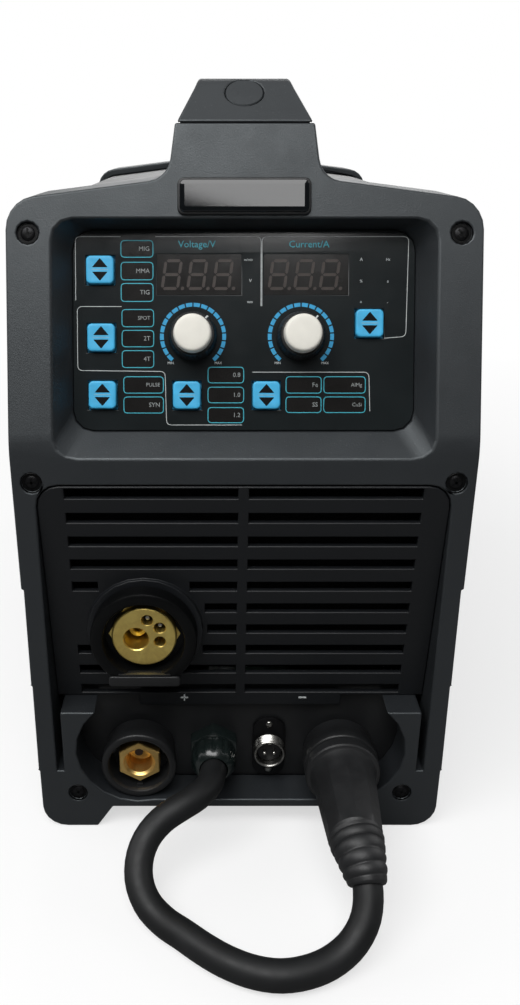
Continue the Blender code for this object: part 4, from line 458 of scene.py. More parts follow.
# a turned solid or ring from (radius, height) points, round local Z
def turned(profile, steps=64, closed=False):
    bm = bmesh.new()
    verts = [bm.verts.new((radius, 0, height)) for radius, height in profile]
    for first, second in zip(verts, verts[1:]):
        bm.edges.new((first, second))
    if closed:
        bm.edges.new((verts[-1], verts[0]))
    bmesh.ops.spin(bm, geom=bm.verts[:] + bm.edges[:], cent=(0, 0, 0), axis=(0, 0, 1),
                   angle=math.tau, steps=steps, use_merge=True, use_duplicate=False)
    bmesh.ops.remove_doubles(bm, verts=bm.verts, dist=1e-6)
    bmesh.ops.recalc_face_normals(bm, faces=bm.faces)
    return bm


# presses a turned piece in by depth(angle) wherever touched(radius, height) holds
def fluted(bm, touched, depth):
    for vert in bm.verts:
        out = math.hypot(vert.co.x, vert.co.y)
        if touched(out, vert.co.z):
            scale = 1 - depth(math.atan2(vert.co.y, vert.co.x)) / out
            vert.co.x *= scale
            vert.co.y *= scale


def roundedFace(width, height, radius, steps=5):
    bm = bmesh.new()
    bmesh.ops.create_grid(bm, x_segments=1, y_segments=1, size=0.5)
    bmesh.ops.scale(bm, vec=(width, height, 1), verts=bm.verts)
    if radius:
        bmesh.ops.bevel(bm, geom=bm.verts[:], offset=radius, offset_type="OFFSET", segments=steps,
                        profile=0.5, affect="VERTICES", material=-1)
    return bm


# a flat shape given a thickness from low to high
def raised(bm, low, high):
    bmesh.ops.translate(bm, vec=(0, 0, low), verts=bm.verts)
    grown = bmesh.ops.extrude_face_region(bm, geom=bm.faces[:], use_keep_orig=True)
    top = [item for item in grown["geom"] if isinstance(item, bmesh.types.BMVert)]
    bmesh.ops.translate(bm, vec=(0, 0, high - low), verts=top)
    bmesh.ops.recalc_face_normals(bm, faces=bm.faces)
    return bm


# a plate with round corners and, on its upper side, a rounded edge
def roundedPlate(width, height, radius, low, high, edge=0.0, steps=5, edgeSteps=3):
    bm = raised(roundedFace(width, height, radius, steps), low, high)
    if edge:
        rim = [e for e in bm.edges if all(abs(v.co.z - high) < 1e-7 for v in e.verts)
               and len(e.link_faces) == 2]
        bmesh.ops.bevel(bm, geom=rim, offset=edge, offset_type="OFFSET", segments=edgeSteps,
                        profile=0.5, affect="EDGES", material=-1)
    return bm


def bar(x0, x1, y0, y1, z0, z1, edge=0.0, steps=2):
    bm = bmesh.new()
    bmesh.ops.create_cube(bm, size=1.0)
    bmesh.ops.scale(bm, vec=(x1 - x0, y1 - y0, z1 - z0), verts=bm.verts)
    bmesh.ops.translate(bm, vec=((x0 + x1) / 2, (y0 + y1) / 2, (z0 + z1) / 2), verts=bm.verts)
    if edge:
        bmesh.ops.bevel(bm, geom=bm.edges[:], offset=edge, offset_type="OFFSET", segments=steps,
                        profile=0.5, affect="EDGES", material=-1)
    return bm


def prism(sides, radius, low, high, turn=0.0, edge=0.0):
    bm = bmesh.new()
    bmesh.ops.create_cone(bm, cap_ends=True, segments=sides, radius1=radius, radius2=radius,
                          depth=high - low)
    moveAll(bm, shift(z=(low + high) / 2) @ turnZ(turn))
    if edge:
        bmesh.ops.bevel(bm, geom=bm.edges[:], offset=edge, offset_type="OFFSET", segments=2,
                        profile=0.5, affect="EDGES", material=-1)
    return bm


# a stack of crests that reads as a thread in a turned profile
def threadProfile(radius, low, high, pitch, depth):
    points = []
    count = max(1, int(round((high - low) / pitch)))
    for i in range(count):
        start = low + i * (high - low) / count
        points += [(radius - depth, start), (radius, start + pitch * 0.5)]
    return points + [(radius - depth, high)]


# a flat part from closed loops of points: the first is its outline, the rest are holes
def holedPlate(loops, low, high):
    bm = bmesh.new()
    for points in loops:
        verts = [bm.verts.new((x, y, 0)) for x, y in points]
        for first, second in zip(verts, verts[1:] + verts[:1]):
            bm.edges.new((first, second))
    bmesh.ops.triangle_fill(bm, edges=bm.edges[:], use_beauty=True, use_dissolve=False)
    return raised(bm, low, high)


def arcPoints(radius, start, end, steps):
    return [(radius * math.cos(math.radians(start + (end - start) * i / steps)),
             radius * math.sin(math.radians(start + (end - start) * i / steps)))
            for i in range(steps + 1)]


def fullCircle(radius, steps):
    return arcPoints(radius, 0, 360, steps)[:-1]


# an edge loop pulled out into a new ring of faces: its new vertices and edges
def pulledOut(bm, edges):
    grown = bmesh.ops.extrude_edge_only(bm, edges=edges)["geom"]
    verts = [item for item in grown if isinstance(item, bmesh.types.BMVert)]
    return verts, [item for item in grown if isinstance(item, bmesh.types.BMEdge)
                   and all(v in verts for v in item.verts)]


# the mesh of a text or curve object, which is then removed with its curve
def takenMesh(carrier):
    bpy.context.view_layer.update()
    mesh = bpy.data.meshes.new_from_object(carrier.evaluated_get(bpy.context.evaluated_depsgraph_get()))
    curve = carrier.data
    bpy.data.objects.remove(carrier)
    bpy.data.curves.remove(curve)
    bm = bmesh.new()
    bm.from_mesh(mesh)
    bpy.data.meshes.remove(mesh)
    return bm


def word(text, height, place, align="CENTER"):
    letters = bpy.data.curves.new("letters", "FONT")
    letters.body = text
    letters.size = height
    letters.align_x = align
    letters.align_y = "CENTER"
    letters.resolution_u = 2
    letters.extrude = 0.00003
    carrier = bpy.data.objects.new("letters", letters)
    stage.collection.objects.link(carrier)
    return moveAll(takenMesh(carrier), shift(place[0], place[1]))


inkThick = 0.00006


# a line of ink with rounded corners, flattened to the ink's thickness
def inkLine(points, width, corner, closed=False):
    path = []
    count = len(points)
    for i, point in enumerate(points):
        here = Vector(point)
        if not closed and i in (0, count - 1):
            path.append(here)
            continue
        before = (Vector(points[i - 1]) - here).normalized()
        after = (Vector(points[(i + 1) % count]) - here).normalized()
        for step in range(5):
            t = step / 4
            a = here + before * corner
            c = here + after * corner
            path.append(a * (1 - t) ** 2 + here * 2 * t * (1 - t) + c * t ** 2)
    curve = bpy.data.curves.new("ink", "CURVE")
    curve.dimensions = "2D"
    curve.fill_mode = "NONE"
    curve.dimensions = "3D"
    spline = curve.splines.new("POLY")
    spline.points.add(len(path) - 1)
    for target, point in zip(spline.points, path):
        target.co = (point.x, point.y, 0, 1)
    spline.use_cyclic_u = closed
    curve.bevel_depth = width / 2
    curve.bevel_resolution = 0
    carrier = bpy.data.objects.new("ink", curve)
    stage.collection.objects.link(carrier)
    bm = takenMesh(carrier)
    bmesh.ops.scale(bm, vec=(1, 1, inkThick / width), verts=bm.verts)
    return bm


# ---- the polarity lead, on the same route as its solid
lead = {"radius": 0.0065, "spacing": 0.0035, "boot": 0.0225, "bootTip": 0.0083, "bootRoot": 0.0125,
        "ridges": 4, "ridgeStart": 0.0030, "ridgePitch": 0.0044, "ridgeHeight": 0.00045,
        "mouth": 0.0016, "bootSpacing": 0.0003}
leadRoute = [Vector((x, y + frontY, z)) for x, y, z in (
    (-0.0130, 0.0000, 0.0350), (-0.0148, -0.0100, 0.0349), (-0.0206, -0.0189, 0.0345),
    (-0.0285, -0.0247, 0.0331), (-0.0366, -0.0291, 0.0299), (-0.0432, -0.0349, 0.0251),
    (-0.0466, -0.0424, 0.0196), (-0.0463, -0.0508, 0.0141), (-0.0421, -0.0590, 0.0094),
    (-0.0346, -0.0663, 0.0068), (-0.0259, -0.0732, 0.0067), (-0.0171, -0.0804, 0.0067),
    (-0.0076, -0.0868, 0.0067), (0.0031, -0.0916, 0.0067), (0.0143, -0.0935, 0.0067),
    (0.0256, -0.0917, 0.0067), (0.0361, -0.0874, 0.0076), (0.0452, -0.0818, 0.0115),
    (0.0511, -0.0753, 0.0184), (0.0528, -0.0673, 0.0262), (0.0514, -0.0575, 0.0325),
    (0.0500, -0.0460, 0.0350))]


routeSteps = 120


# points at an even spacing along a smooth curve through the route, and the curve's length
def smoothRoute(points, spacing):
    fine = []
    padded = [points[0] * 2 - points[1]] + points + [points[-1] * 2 - points[-2]]
    for a, b, c, d in zip(padded, padded[1:], padded[2:], padded[3:]):
        for step in range(routeSteps):
            t = step / routeSteps
            fine.append(0.5 * (2 * b + (c - a) * t + (2 * a - 5 * b + 4 * c - d) * t ** 2
                               + (3 * b - 3 * c + d - a) * t ** 3))
    fine.append(points[-1].copy())
    runs = [0.0]
    for a, b in zip(fine, fine[1:]):
        runs.append(runs[-1] + (b - a).length)
    count = max(2, int(round(runs[-1] / spacing)))
    route = []
    k = 0
    for i in range(count + 1):
        want = runs[-1] * i / count
        while k < len(runs) - 2 and runs[k + 1] < want:
            k += 1
        span = runs[k + 1] - runs[k] or 1.0
        route.append(fine[k].lerp(fine[k + 1], (want - runs[k]) / span))
    return route, runs[-1]


leadPoints, leadLength = smoothRoute(leadRoute, lead["spacing"])


def sweptCurve(name, points, radius, sides, radii=None):
    curve = bpy.data.curves.new(name, "CURVE")
    curve.dimensions = "3D"
    spline = curve.splines.new("POLY")
    spline.points.add(len(points) - 1)
    for i, (target, point) in enumerate(zip(spline.points, points)):
        target.co = tuple(point) + (1,)
        target.radius = radii[i] / radius if radii else 1.0
    curve.bevel_depth = radius
    curve.bevel_resolution = sides
    curve.use_fill_caps = True
    spline.use_smooth = True
    carrier = bpy.data.objects.new(name, curve)
    stage.collection.objects.link(carrier)
    return carrier


leadPiece = sweptCurve("polarityLead", leadPoints, lead["radius"], 8)
leadPiece.data.materials.append(leadRubber)
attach(leadPiece, "case")
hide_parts("polarity_lead")


# the boot: rings of rubber that let the lead bend where it enters the plug
def plugBoot():
    finePoints, total = smoothRoute(leadRoute, lead["bootSpacing"])
    along = [total * i / (len(finePoints) - 1) for i in range(len(finePoints))]
    first = next(i for i, run in enumerate(along) if run >= total - lead["boot"])
    points = finePoints[first:]
    radii = []
    for run in along[first:]:
        s = run - (total - lead["boot"])            # from the tip
        share = min(1.0, s / lead["boot"])
        radius = lead["bootTip"] + (lead["bootRoot"] - lead["bootTip"]) * share
        if s < lead["mouth"]:                       # the mouth is rounded
            radius -= lead["mouth"] - math.sqrt(max(0.0, lead["mouth"] ** 2 - (lead["mouth"] - s) ** 2))
        ridge = (s - lead["ridgeStart"]) / lead["ridgePitch"]
        if 0 <= ridge < lead["ridges"]:
            radius += lead["ridgeHeight"] * (2 * abs(math.sin(math.pi * ridge)) ** 0.6 - 1)
        radii.append(radius)
    bm = takenMesh(sweptCurve("bootSweep", points, lead["bootTip"], 12, radii))
    bmesh.ops.remove_doubles(bm, verts=bm.verts, dist=1e-6)
    return finishPiece(bm, "plugBoot", "case", bootRubber, sharp=50)


plugSize = {"x": 0.050, "z": 0.035, "collar": 0.0182, "collarLow": -0.0017, "collarHigh": 0.0050,
            "body": 0.0150, "taper": 0.0024, "end": 0.0458, "flats": 10, "flatShare": 0.88,
            "flatStart": 0.0100, "flatFade": 0.004, "insideOf": 0.0125, "stations": 14}


# the plug's hand grip: a collar, then a long body with shallow flats
def plugBody():
    s = plugSize
    profile = [(0.0142, -0.0120), (0.0144, s["collarLow"]), (s["collar"] - 0.0010, s["collarLow"]),
               (s["collar"], s["collarLow"] + 0.0008), (s["collar"], s["collarHigh"] - 0.0012),
               (s["collar"] - 0.0005, s["collarHigh"] - 0.0003), (s["collar"] - 0.0014, s["collarHigh"]),
               (0.0162, s["collarHigh"] + 0.0004), (0.0156, s["collarHigh"] + 0.0020),
               (s["body"], s["collarHigh"] + 0.0050)]
    for i in range(s["stations"] + 1):
        share = i / s["stations"]
        z = 0.0120 + (s["end"] - 0.0135) * share
        profile.append((s["body"] - s["taper"] * share, min(z, s["end"])))
    for height, radius in ((0.0010, 0.0120), (0.0028, 0.0105), (0.0042, 0.0070), (0.0048, 0.0)):
        profile.append((radius, s["end"] + height))
    bm = turned([(0.0, -0.0120)] + profile, 80)
    for vert in bm.verts:
        out = math.hypot(vert.co.x, vert.co.y)
        if out < s["insideOf"] or vert.co.z < s["flatStart"]:
            continue
        angle = math.atan2(vert.co.y, vert.co.x)
        cell = math.tau / s["flats"]
        off = (angle + cell / 2) % cell - cell / 2
        flat = math.cos(cell / 2) / math.cos(off)       # a regular polygon's edge
        fade = min(1.0, (vert.co.z - s["flatStart"]) / s["flatFade"])
        scale = 1 - fade * s["flatShare"] * (1 - flat)
        vert.co.x *= scale
        vert.co.y *= scale
    return finishPiece(moveAll(bm, onFront(s["x"], s["z"])), "plugBody", "case", bootRubber,
                       ("lead_plug",), 28)


bootPiece = plugBoot()
plugPiece = plugBody()
print("lead laid:", round(leadLength, 4))


# ---- case mouldings
housings = {"bezelEdge": 0.0008, "grilleEdge": 0.00045, "handleEdge": 0.0006, "rearEdge": 0.0008,
            "screwHead": 0.0033, "screwHigh": 0.0009, "screwRecess": 0.0013, "wellRadius": 0.0046,
            "wellDepth": 0.00148,
            "faceScrews": ((0.0905, 0.286), (0.0912, 0.1855), (0.0805, 0.0206))}
refined("front_bezel", casePlastic, edge=housings["bezelEdge"], steps=3, merge=1.5)
refined("front_grille", grillePlastic, edge=housings["grilleEdge"], evened=True)
refined("carry_handle", casePlastic, edge=housings["handleEdge"], steps=2)
refined("rear_panel", casePlastic, edge=housings["rearEdge"], steps=3)


# a pan head, local Z out of the material, and two dark bars on its dome, painted shade that stands for its
# cross slot
def screwHead(radius, high, slot=0.0009, reach=0.62):
    bm = turned([(0.0, -high), (radius * 0.98, -high), (radius, -high * 0.25), (radius * 0.94, 0.0),
                 (radius * 0.80, high * 0.45), (radius * 0.5, high * 0.72), (0.0, high * 0.80)], 36)
    cuts = bmesh.new()
    for turn in (35, 125):
        addTo(cuts, bar(-radius * reach, radius * reach, -slot / 2, slot / 2, high * 0.80 - 0.0002,
                        high * 0.80 + 0.00004, 0.0), turnZ(turn))
    return bm, cuts


# the heads of one set of screws and the dark bars of painted shade in their slots; dark is more painted
# shade in the same colour
def screwSet(kind, places, radius, high, look, dark=None):
    heads = bmesh.new()
    slotShadeBars = bmesh.new()
    for place in places:
        head, cuts = screwHead(radius, high)
        addTo(heads, head, place)
        addTo(slotShadeBars, cuts, place)
    if dark is not None:
        addTo(slotShadeBars, dark)
    finishPiece(heads, kind + "Screws", "case", look)
    finishPiece(slotShadeBars, kind + "ScrewSlotShade", "case", shadeAndDeepBlack)


# the six screws of the front moulding, their heads darkened as painted shade, each in a well lined with a
# dark cup of painted shade
def bezelScrews():
    places = []
    wellShade = bmesh.new()
    r, deep = housings["wellRadius"], housings["wellDepth"]
    for x, z in housings["faceScrews"]:
        for side in (-1, 1):
            if z > lean["originZ"]:         # on the leaning face
                up = (z - lean["originZ"]) / math.cos(math.radians(lean["angle"]))
                place = panelSpace @ shift(side * x, up - lean["faceUp"] * math.tan(math.radians(
                    lean["angle"])), lean["faceUp"] - housings["screwRecess"])
            else:
                place = onFront(side * x, z, -housings["screwRecess"])
            # a dark cup of painted shade that lines the well
            wellShadeCup = turned([(0.0, -deep), (r, -deep), (r, -0.0002), (r - 0.0001, -0.0001),
                           (r - 0.0002, -deep + 0.0002), (0.0, -deep + 0.0002)], 48)
            addTo(wellShade, wellShadeCup, place @ shift(z=housings["screwRecess"]))
            places.append(place @ turnZ(17 * side + z * 900))
    screwSet("bezel", places, housings["screwHead"], housings["screwHigh"], screwMetalInShade, wellShade)


bezelScrews()

handleCap = {"radius": 0.0081, "depth": 0.0015, "along": 0.68, "run": 0.021, "rise": 0.0174,
             "foot": 0.3286}


# the caps that close the screw seats on the handle's noses, flush but for their parting line
def noseCaps():
    size = handleCap
    slope = math.atan2(size["rise"], size["run"])
    caps = bmesh.new()
    low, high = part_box("carry_handle")
    back = size["run"] * size["along"]
    for y, tilt in ((low.y + back, slope), (high.y - back, -slope)):
        disc = turned([(0.0, -size["depth"]), (size["radius"], -size["depth"]),
                       (size["radius"], -0.0004), (size["radius"] - 0.0004, 0.0), (0.0, 0.00012)], 64)
        z = size["foot"] + size["rise"] * size["along"]
        addTo(caps, disc, Matrix.Translation((0, y, z)) @ Matrix.Rotation(tilt, 4, "X"))
    finishPiece(caps, "noseCaps", "case", casePlastic)


noseCaps()


# a dark bar of painted shade inside both solids, that darkens the seams under both ends of the handle
def handleSeamShade():
    low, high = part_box("carry_handle")
    half, inset, run = (high.x - low.x) / 2 - 0.0010, 0.0010, 0.0310
    seamShade = bmesh.new()
    for y0, y1 in ((low.y + inset, low.y + run), (high.y - run, high.y - inset)):
        addTo(seamShade, bar(-half, half, y0, y1, low.z - 0.0008, low.z + 0.0006))
    finishPiece(seamShade, "handleSeamShade", "case", shadeAndDeepBlack)


handleSeamShade()


badge = {"width": 0.0556, "height": 0.0152, "radius": 0.0028, "up": 0.1009, "x": -0.0002,
         "high": 0.0021}


# the bare name plate: a domed gloss plate in a black rim
def namePlate():
    size = badge
    place = panelSpace @ shift(size["x"], size["up"], lean["faceUp"])
    rim = roundedPlate(size["width"], size["height"], size["radius"], -0.0004, size["high"] * 0.62,
                       0.0006, 6, 3)
    finishPiece(moveAll(rim, place), "badgeRim", "case", fittingBlack, sharp=30)
    dome = roundedPlate(size["width"] - 0.0018, size["height"] - 0.0018, size["radius"] - 0.0006,
                        size["high"] * 0.5, size["high"], 0.0007, 6, 4)
    top = [f for f in dome.faces if f.normal.z > 0.99]
    bmesh.ops.inset_region(dome, faces=top, thickness=0.0014, depth=0.00022)
    finishPiece(moveAll(dome, place), "badgePlate", "case", badgeGloss, sharp=7)


namePlate()
print("case mouldings done")

# ---- control panel: film, ink, displays
panelSize = {"edge": 0.0004, "inkHigh": 0.00002, "line": 0.00034, "corner": 0.0016, "inset": 0.00017,
             "guide": 0.00026, "guideCorner": 0.0022, "word": 0.0027, "longWord": 0.0023,
             "title": 0.0041, "titleUp": 0.0840}
refined("control_panel", panelFilm, edge=panelSize["edge"], evened=True)
refined("control_board", boardGreen, edge=0.0)
onPanel = panelSpace @ shift(z=panelSize["inkHigh"])

# places on the panel are in millimetres from the middle of its lower edge: left, right, low, high
windows = ((-53.0, -38.9, 78.4, 85.8), (-53.0, -38.9, 68.8, 76.6), (-53.0, -38.9, 59.6, 67.6),
           (-52.7, -38.7, 48.8, 56.5), (-52.7, -38.7, 40.2, 47.6), (-52.7, -38.7, 31.3, 38.9),
           (-52.1, -34.6, 20.3, 27.7), (-52.1, -34.6, 11.7, 19.0),
           (-15.6, 0.2, 24.7, 31.8), (-15.6, 0.2, 16.1, 23.2), (-15.6, 0.2, 7.5, 14.4),
           (18.2, 33.8, 20.3, 27.7), (18.2, 33.8, 11.9, 19.0),
           (34.6, 52.9, 20.3, 27.7), (34.6, 52.9, 11.9, 19.0))
windowWords = ("MIG", "MMA", "TIG", "SPOT", "2T", "4T", "PULSE", "SYN",
               "0.8", "1.0", "1.2", "Fe", "SS", "AlMg", "CuSi")


# the framed lens windows beside the buttons, each with its word
def panelWindows():
    lines = bmesh.new()
    glass = bmesh.new()
    words = bmesh.new()
    for (u0, u1, v0, v1), text in zip(windows, windowWords):
        inset = panelSize["inset"]
        x0, x1, y0, y1 = u0 / 1000 + inset, u1 / 1000 - inset, v0 / 1000 + inset, v1 / 1000 - inset
        addTo(lines, inkLine([(x0, y0), (x1, y0), (x1, y1), (x0, y1)], panelSize["line"],
                             panelSize["corner"], True), onPanel)
        pane = raised(roundedFace(x1 - x0 - 0.0008, y1 - y0 - 0.0008, panelSize["corner"] * 0.7, 4),
                      -0.00001, 0.00002)
        addTo(glass, pane, onPanel @ shift((x0 + x1) / 2, (y0 + y1) / 2))
        high = panelSize["word"] if len(text) < 4 else panelSize["longWord"]
        addTo(words, word(text, high, (x1 - 0.0014, (y0 + y1) / 2), "RIGHT"), onPanel)
    finishPiece(lines, "windowLines", "case", tealInk)
    finishPiece(glass, "windowPanes", "case", displayLens)
    finishPiece(words, "windowWords", "case", dimInk, sharp=20)


panelWindows()

guides = ([(-72.4, 60.3), (-72.4, 87.3), (-53.0, 87.3)], [(-38.0, 87.3), (7.4, 87.3), (7.4, 57.8)],
          [(7.8, 57.8), (7.8, 87.3), (70.8, 87.3), (70.0, 44.8), (60.8, 44.1)],
          [(-52.7, 57.6), (-71.8, 57.6), (-71.8, 30.2), (-34.0, 29.8), (-33.4, 6.7), (-0.7, 6.7)],
          [(3.8, 29.5), (54.2, 29.5), (54.8, 12.7)])
smallWords = (("MIN", 1.5, -31.6, 33.4, "CENTER"), ("MAX", 1.5, -11.0, 33.4, "CENTER"),
              ("MIN", 1.5, 14.7, 33.4, "CENTER"), ("MAX", 1.5, 35.2, 33.4, "CENTER"),
              ("m/min", 1.5, 3.9, 77.5, "RIGHT"), ("V", 1.9, 3.4, 68.6, "RIGHT"),
              ("mm", 1.6, 3.9, 59.6, "RIGHT"), ("A", 1.9, 50.5, 77.6, "CENTER"),
              ("Hz", 1.6, 62.0, 77.6, "CENTER"), ("%", 1.7, 50.5, 68.4, "CENTER"),
              ("s", 1.9, 62.0, 68.4, "CENTER"), ("+", 1.9, 50.5, 59.4, "CENTER"),
              ("-", 1.9, 62.0, 59.4, "CENTER"))


# the white lines that tie each button to what it sets, the small words and the two titles
def panelGuides():
    lines = bmesh.new()
    for points in guides:
        route = [(u / 1000, v / 1000) for u, v in points]
        addTo(lines, inkLine(route, panelSize["guide"], panelSize["guideCorner"]), onPanel)
    for text, high, u, v, align in smallWords:
        addTo(lines, word(text, high / 1000, (u / 1000, v / 1000), align), onPanel)
    finishPiece(lines, "panelGuides", "case", whiteInk, sharp=20)
    titles = bmesh.new()
    for title, across in (("Voltage/V", -0.0202), ("Current/A", 0.0280)):
        addTo(titles, word(title, panelSize["title"], (across, panelSize["titleUp"])), onPanel)
    finishPiece(titles, "panelTitles", "case", tealInk, sharp=20)


panelGuides()

digits = {"across": (-0.0192, 0.0268), "up": 0.0712, "pitch": 0.0110, "left": 0.0008,
          "paneWide": 0.0363, "paneTall": 0.0173, "tall": 0.0118, "broad": 0.0066, "stroke": 0.00125,
          "slant": 8, "dot": 0.00075, "dotGap": 0.0021, "thick": 0.00003}


# one seven-segment figure, all segments unlit
def figureEight():
    s = digits
    whole = bmesh.new()
    half = s["tall"] / 2
    spots = [(0, half, 0), (0, 0, 0), (0, -half, 0)]
    spots += [(x * s["broad"] / 2, y * half / 2, 90) for x in (-1, 1) for y in (-1, 1)]
    for x, y, turn in spots:
        length = (s["broad"] if not turn else half) - s["stroke"] * 0.55
        stroke = roundedFace(length, s["stroke"], s["stroke"] * 0.46, 1)
        addTo(whole, raised(stroke, 0, s["thick"]), shift(x, y) @ turnZ(turn))
    dot = bmesh.new()
    bmesh.ops.create_circle(dot, cap_ends=True, segments=16, radius=s["dot"])
    addTo(whole, raised(dot, 0, s["thick"]), shift(s["broad"] / 2 + s["dotGap"], -half))
    return whole


# both displays under flush panes, so that no frame shows
def displays():
    slant = Matrix(((1, math.tan(math.radians(digits["slant"])), 0, 0), (0, 1, 0, 0), (0, 0, 1, 0),
                    (0, 0, 0, 1)))
    figures = bmesh.new()
    panes = bmesh.new()
    for across, node in zip(digits["across"], ("voltage_display", "current_display")):
        refined(node, displayLens, edge=0.0004)
        for i in (-1, 0, 1):
            addTo(figures, figureEight(), panelSpace @ shift(
                across + i * digits["pitch"] - digits["left"], digits["up"], 0.00004) @ slant)
        pane = raised(roundedFace(digits["paneWide"], digits["paneTall"], 0.0004, 2), -0.00002, 0.00002)
        addTo(panes, pane, onPanel @ shift(across, digits["up"]))
    finishPiece(panes, "displayPanes", "case", displayLens)
    finishPiece(figures, "displayFigures", "case", dimSegment, sharp=20)


displays()

button = {"side": 0.0119, "corner": 0.0021, "proud": 0.0022, "sink": 0.0030, "edge": 0.0007,
          "arrowWide": 0.0037, "arrowUp": 0.00225,
          "places": {"mode": (-0.0617, 0.0730), "trigger": (-0.0614, 0.0442),
                     "pulse": (-0.0610, 0.01965), "wire": (-0.0246, 0.0195),
                     "function": (0.0098, 0.0195), "display": (0.0541, 0.0503)}}


# a blue key cap with a soft dish, its two arrows and the line between them
def keyCap(name, u, v):
    s = button
    place = panelSpace @ shift(u, v)
    cap = roundedPlate(s["side"], s["side"], s["corner"], -s["sink"], s["proud"], s["edge"], 6, 3)
    top = [f for f in cap.faces if f.normal.z > 0.99]
    bmesh.ops.inset_region(cap, faces=top, thickness=0.0011, depth=-0.00012)
    flange = roundedPlate(s["side"] + 0.0022, s["side"] + 0.0022, s["corner"], -s["sink"] - 0.0006,
                          -s["sink"], 0.0, 4)
    addTo(cap, flange)
    finishPiece(moveAll(cap, place), name + "KeyCap", name + "_key", buttonBlue,
                (name + "_button",), 30)
    arrows = bmesh.new()
    for side in (1, -1):
        arrow = bmesh.new()
        bmesh.ops.create_circle(arrow, cap_ends=True, segments=3, radius=s["arrowWide"])
        moveAll(arrow, Matrix.Diagonal((1.05, 0.70, 1, 1)))
        bmesh.ops.bevel(arrow, geom=arrow.verts[:], offset=0.00035, offset_type="OFFSET", segments=2,
                        profile=0.5, affect="VERTICES", material=-1)
        turn = turnZ(0) if side > 0 else turnZ(180)
        addTo(arrows, raised(arrow, 0, 0.00006), shift(0, side * s["arrowUp"], s["proud"] - 0.00012)
              @ turn)
    finishPiece(moveAll(arrows, place), name + "KeyArrows", name + "_key", blackInk)
    line = raised(roundedFace(0.0072, 0.00034, 0.00015, 2), s["proud"] - 0.00012, s["proud"] - 0.00006)
    finishPiece(moveAll(line, place), name + "KeyLine", name + "_key", paleInk)


for keyName, keyPlace in button["places"].items():
    keyCap(keyName, *keyPlace)

dial = {"places": {"voltage": -0.0219, "current": 0.0247}, "up": 0.0449, "skirt": 0.0105,
        "skirtHigh": 0.0085, "capRadius": 0.0082, "capTop": 0.01404, "ridges": 40,
        "ridgeDeep": 0.00028, "pointer": 50, "ringInner": 0.01265, "ringOuter": 0.0143, "marks": 20,
        "sweep": 280, "markShare": 0.82}


# black skirt with fine ridges, a cream cap, and a blue ring of marks printed round it
def dialKnob(name, u):
    s = dial
    place = panelSpace @ shift(u, s["up"])
    skirt = turned([(0.0032, 0.0006), (s["skirt"] - 0.0004, 0.0006), (s["skirt"], 0.0012),
                    (s["skirt"] - 0.0003, 0.0030), (s["skirt"] - 0.0006, 0.0055),
                    (s["skirt"] - 0.0009, s["skirtHigh"] - 0.0007), (s["skirt"] - 0.0015, s["skirtHigh"]),
                    (s["capRadius"] + 0.0003, s["skirtHigh"]), (0.0, s["skirtHigh"] - 0.0001)],
                   s["ridges"] * 4)
    fluted(skirt, lambda out, z: out > s["skirt"] - 0.0012 and z > 0.0014,
           lambda angle: s["ridgeDeep"] * (0.5 - 0.5 * math.cos(s["ridges"] * angle)))
    shaft = turned([(0.0, -0.0058), (0.0028, -0.0058), (0.0028, 0.0010), (0.0, 0.0010)], 24)
    addTo(skirt, shaft)
    finishPiece(moveAll(skirt, place), name + "Skirt", name + "_dial", fittingBlack,
                (name + "_knob",), 40)
    r, top = s["capRadius"], s["capTop"]
    cap = turned([(0.0, s["skirtHigh"] + 0.0001), (r - 0.0001, s["skirtHigh"] + 0.0001),
                  (r, s["skirtHigh"] + 0.0006), (r - 0.00035, top - 0.0012), (r - 0.0006, top - 0.0005),
                  (r - 0.0011, top - 0.00014), (r - 0.0017, top), (r * 0.55, top + 0.00004),
                  (0.0, top + 0.00006)], 72)
    finishPiece(moveAll(cap, place), name + "Cap", name + "_dial", capCream,
                (name + "_knob_cap",), 40)
    mark = bar(s["capRadius"] + 0.0004, s["skirt"] - 0.0010, -0.00035, 0.00035,
               s["skirtHigh"] - 0.0002, s["skirtHigh"] + 0.00008)
    side = bar(s["skirt"] - 0.00125, s["skirt"] - 0.0005, -0.00035, 0.00035,
               s["skirtHigh"] - 0.0052, s["skirtHigh"] - 0.0004)
    addTo(mark, side)
    finishPiece(moveAll(mark, place @ turnZ(s["pointer"])), name + "Pointer", name + "_dial", whiteInk)
    ring = bmesh.new()
    step = s["sweep"] / s["marks"]
    for i in range(s["marks"]):
        piece = bmesh.new()
        ends = [piece.verts.new((s["ringInner"], 0, 0)), piece.verts.new((s["ringOuter"], 0, 0))]
        rung = piece.edges.new(ends)
        bmesh.ops.spin(piece, geom=ends + [rung], cent=(0, 0, 0), axis=(0, 0, 1),
                       angle=math.radians(step * s["markShare"]), steps=4)
        start = 90 - s["sweep"] / 2 + step * (1 - s["markShare"]) / 2
        addTo(ring, raised(piece, 0, 0.00005), turnZ(start + i * step))
    finishPiece(moveAll(ring, onPanel @ shift(u, s["up"])), name + "Ring", "case", blueInk)


for knobName, knobAcross in dial["places"].items():
    dialKnob(knobName, knobAcross)
print("control panel done")


# ---- front connectors
socket = {"x": 0.050, "z": 0.035, "front": -0.0020, "radius": 0.0185, "bore": 0.0145,
          "contactFront": -0.0052, "contactFlats": 0.020, "contactBore": 0.0066,
          "contactChamfer": 1.045}


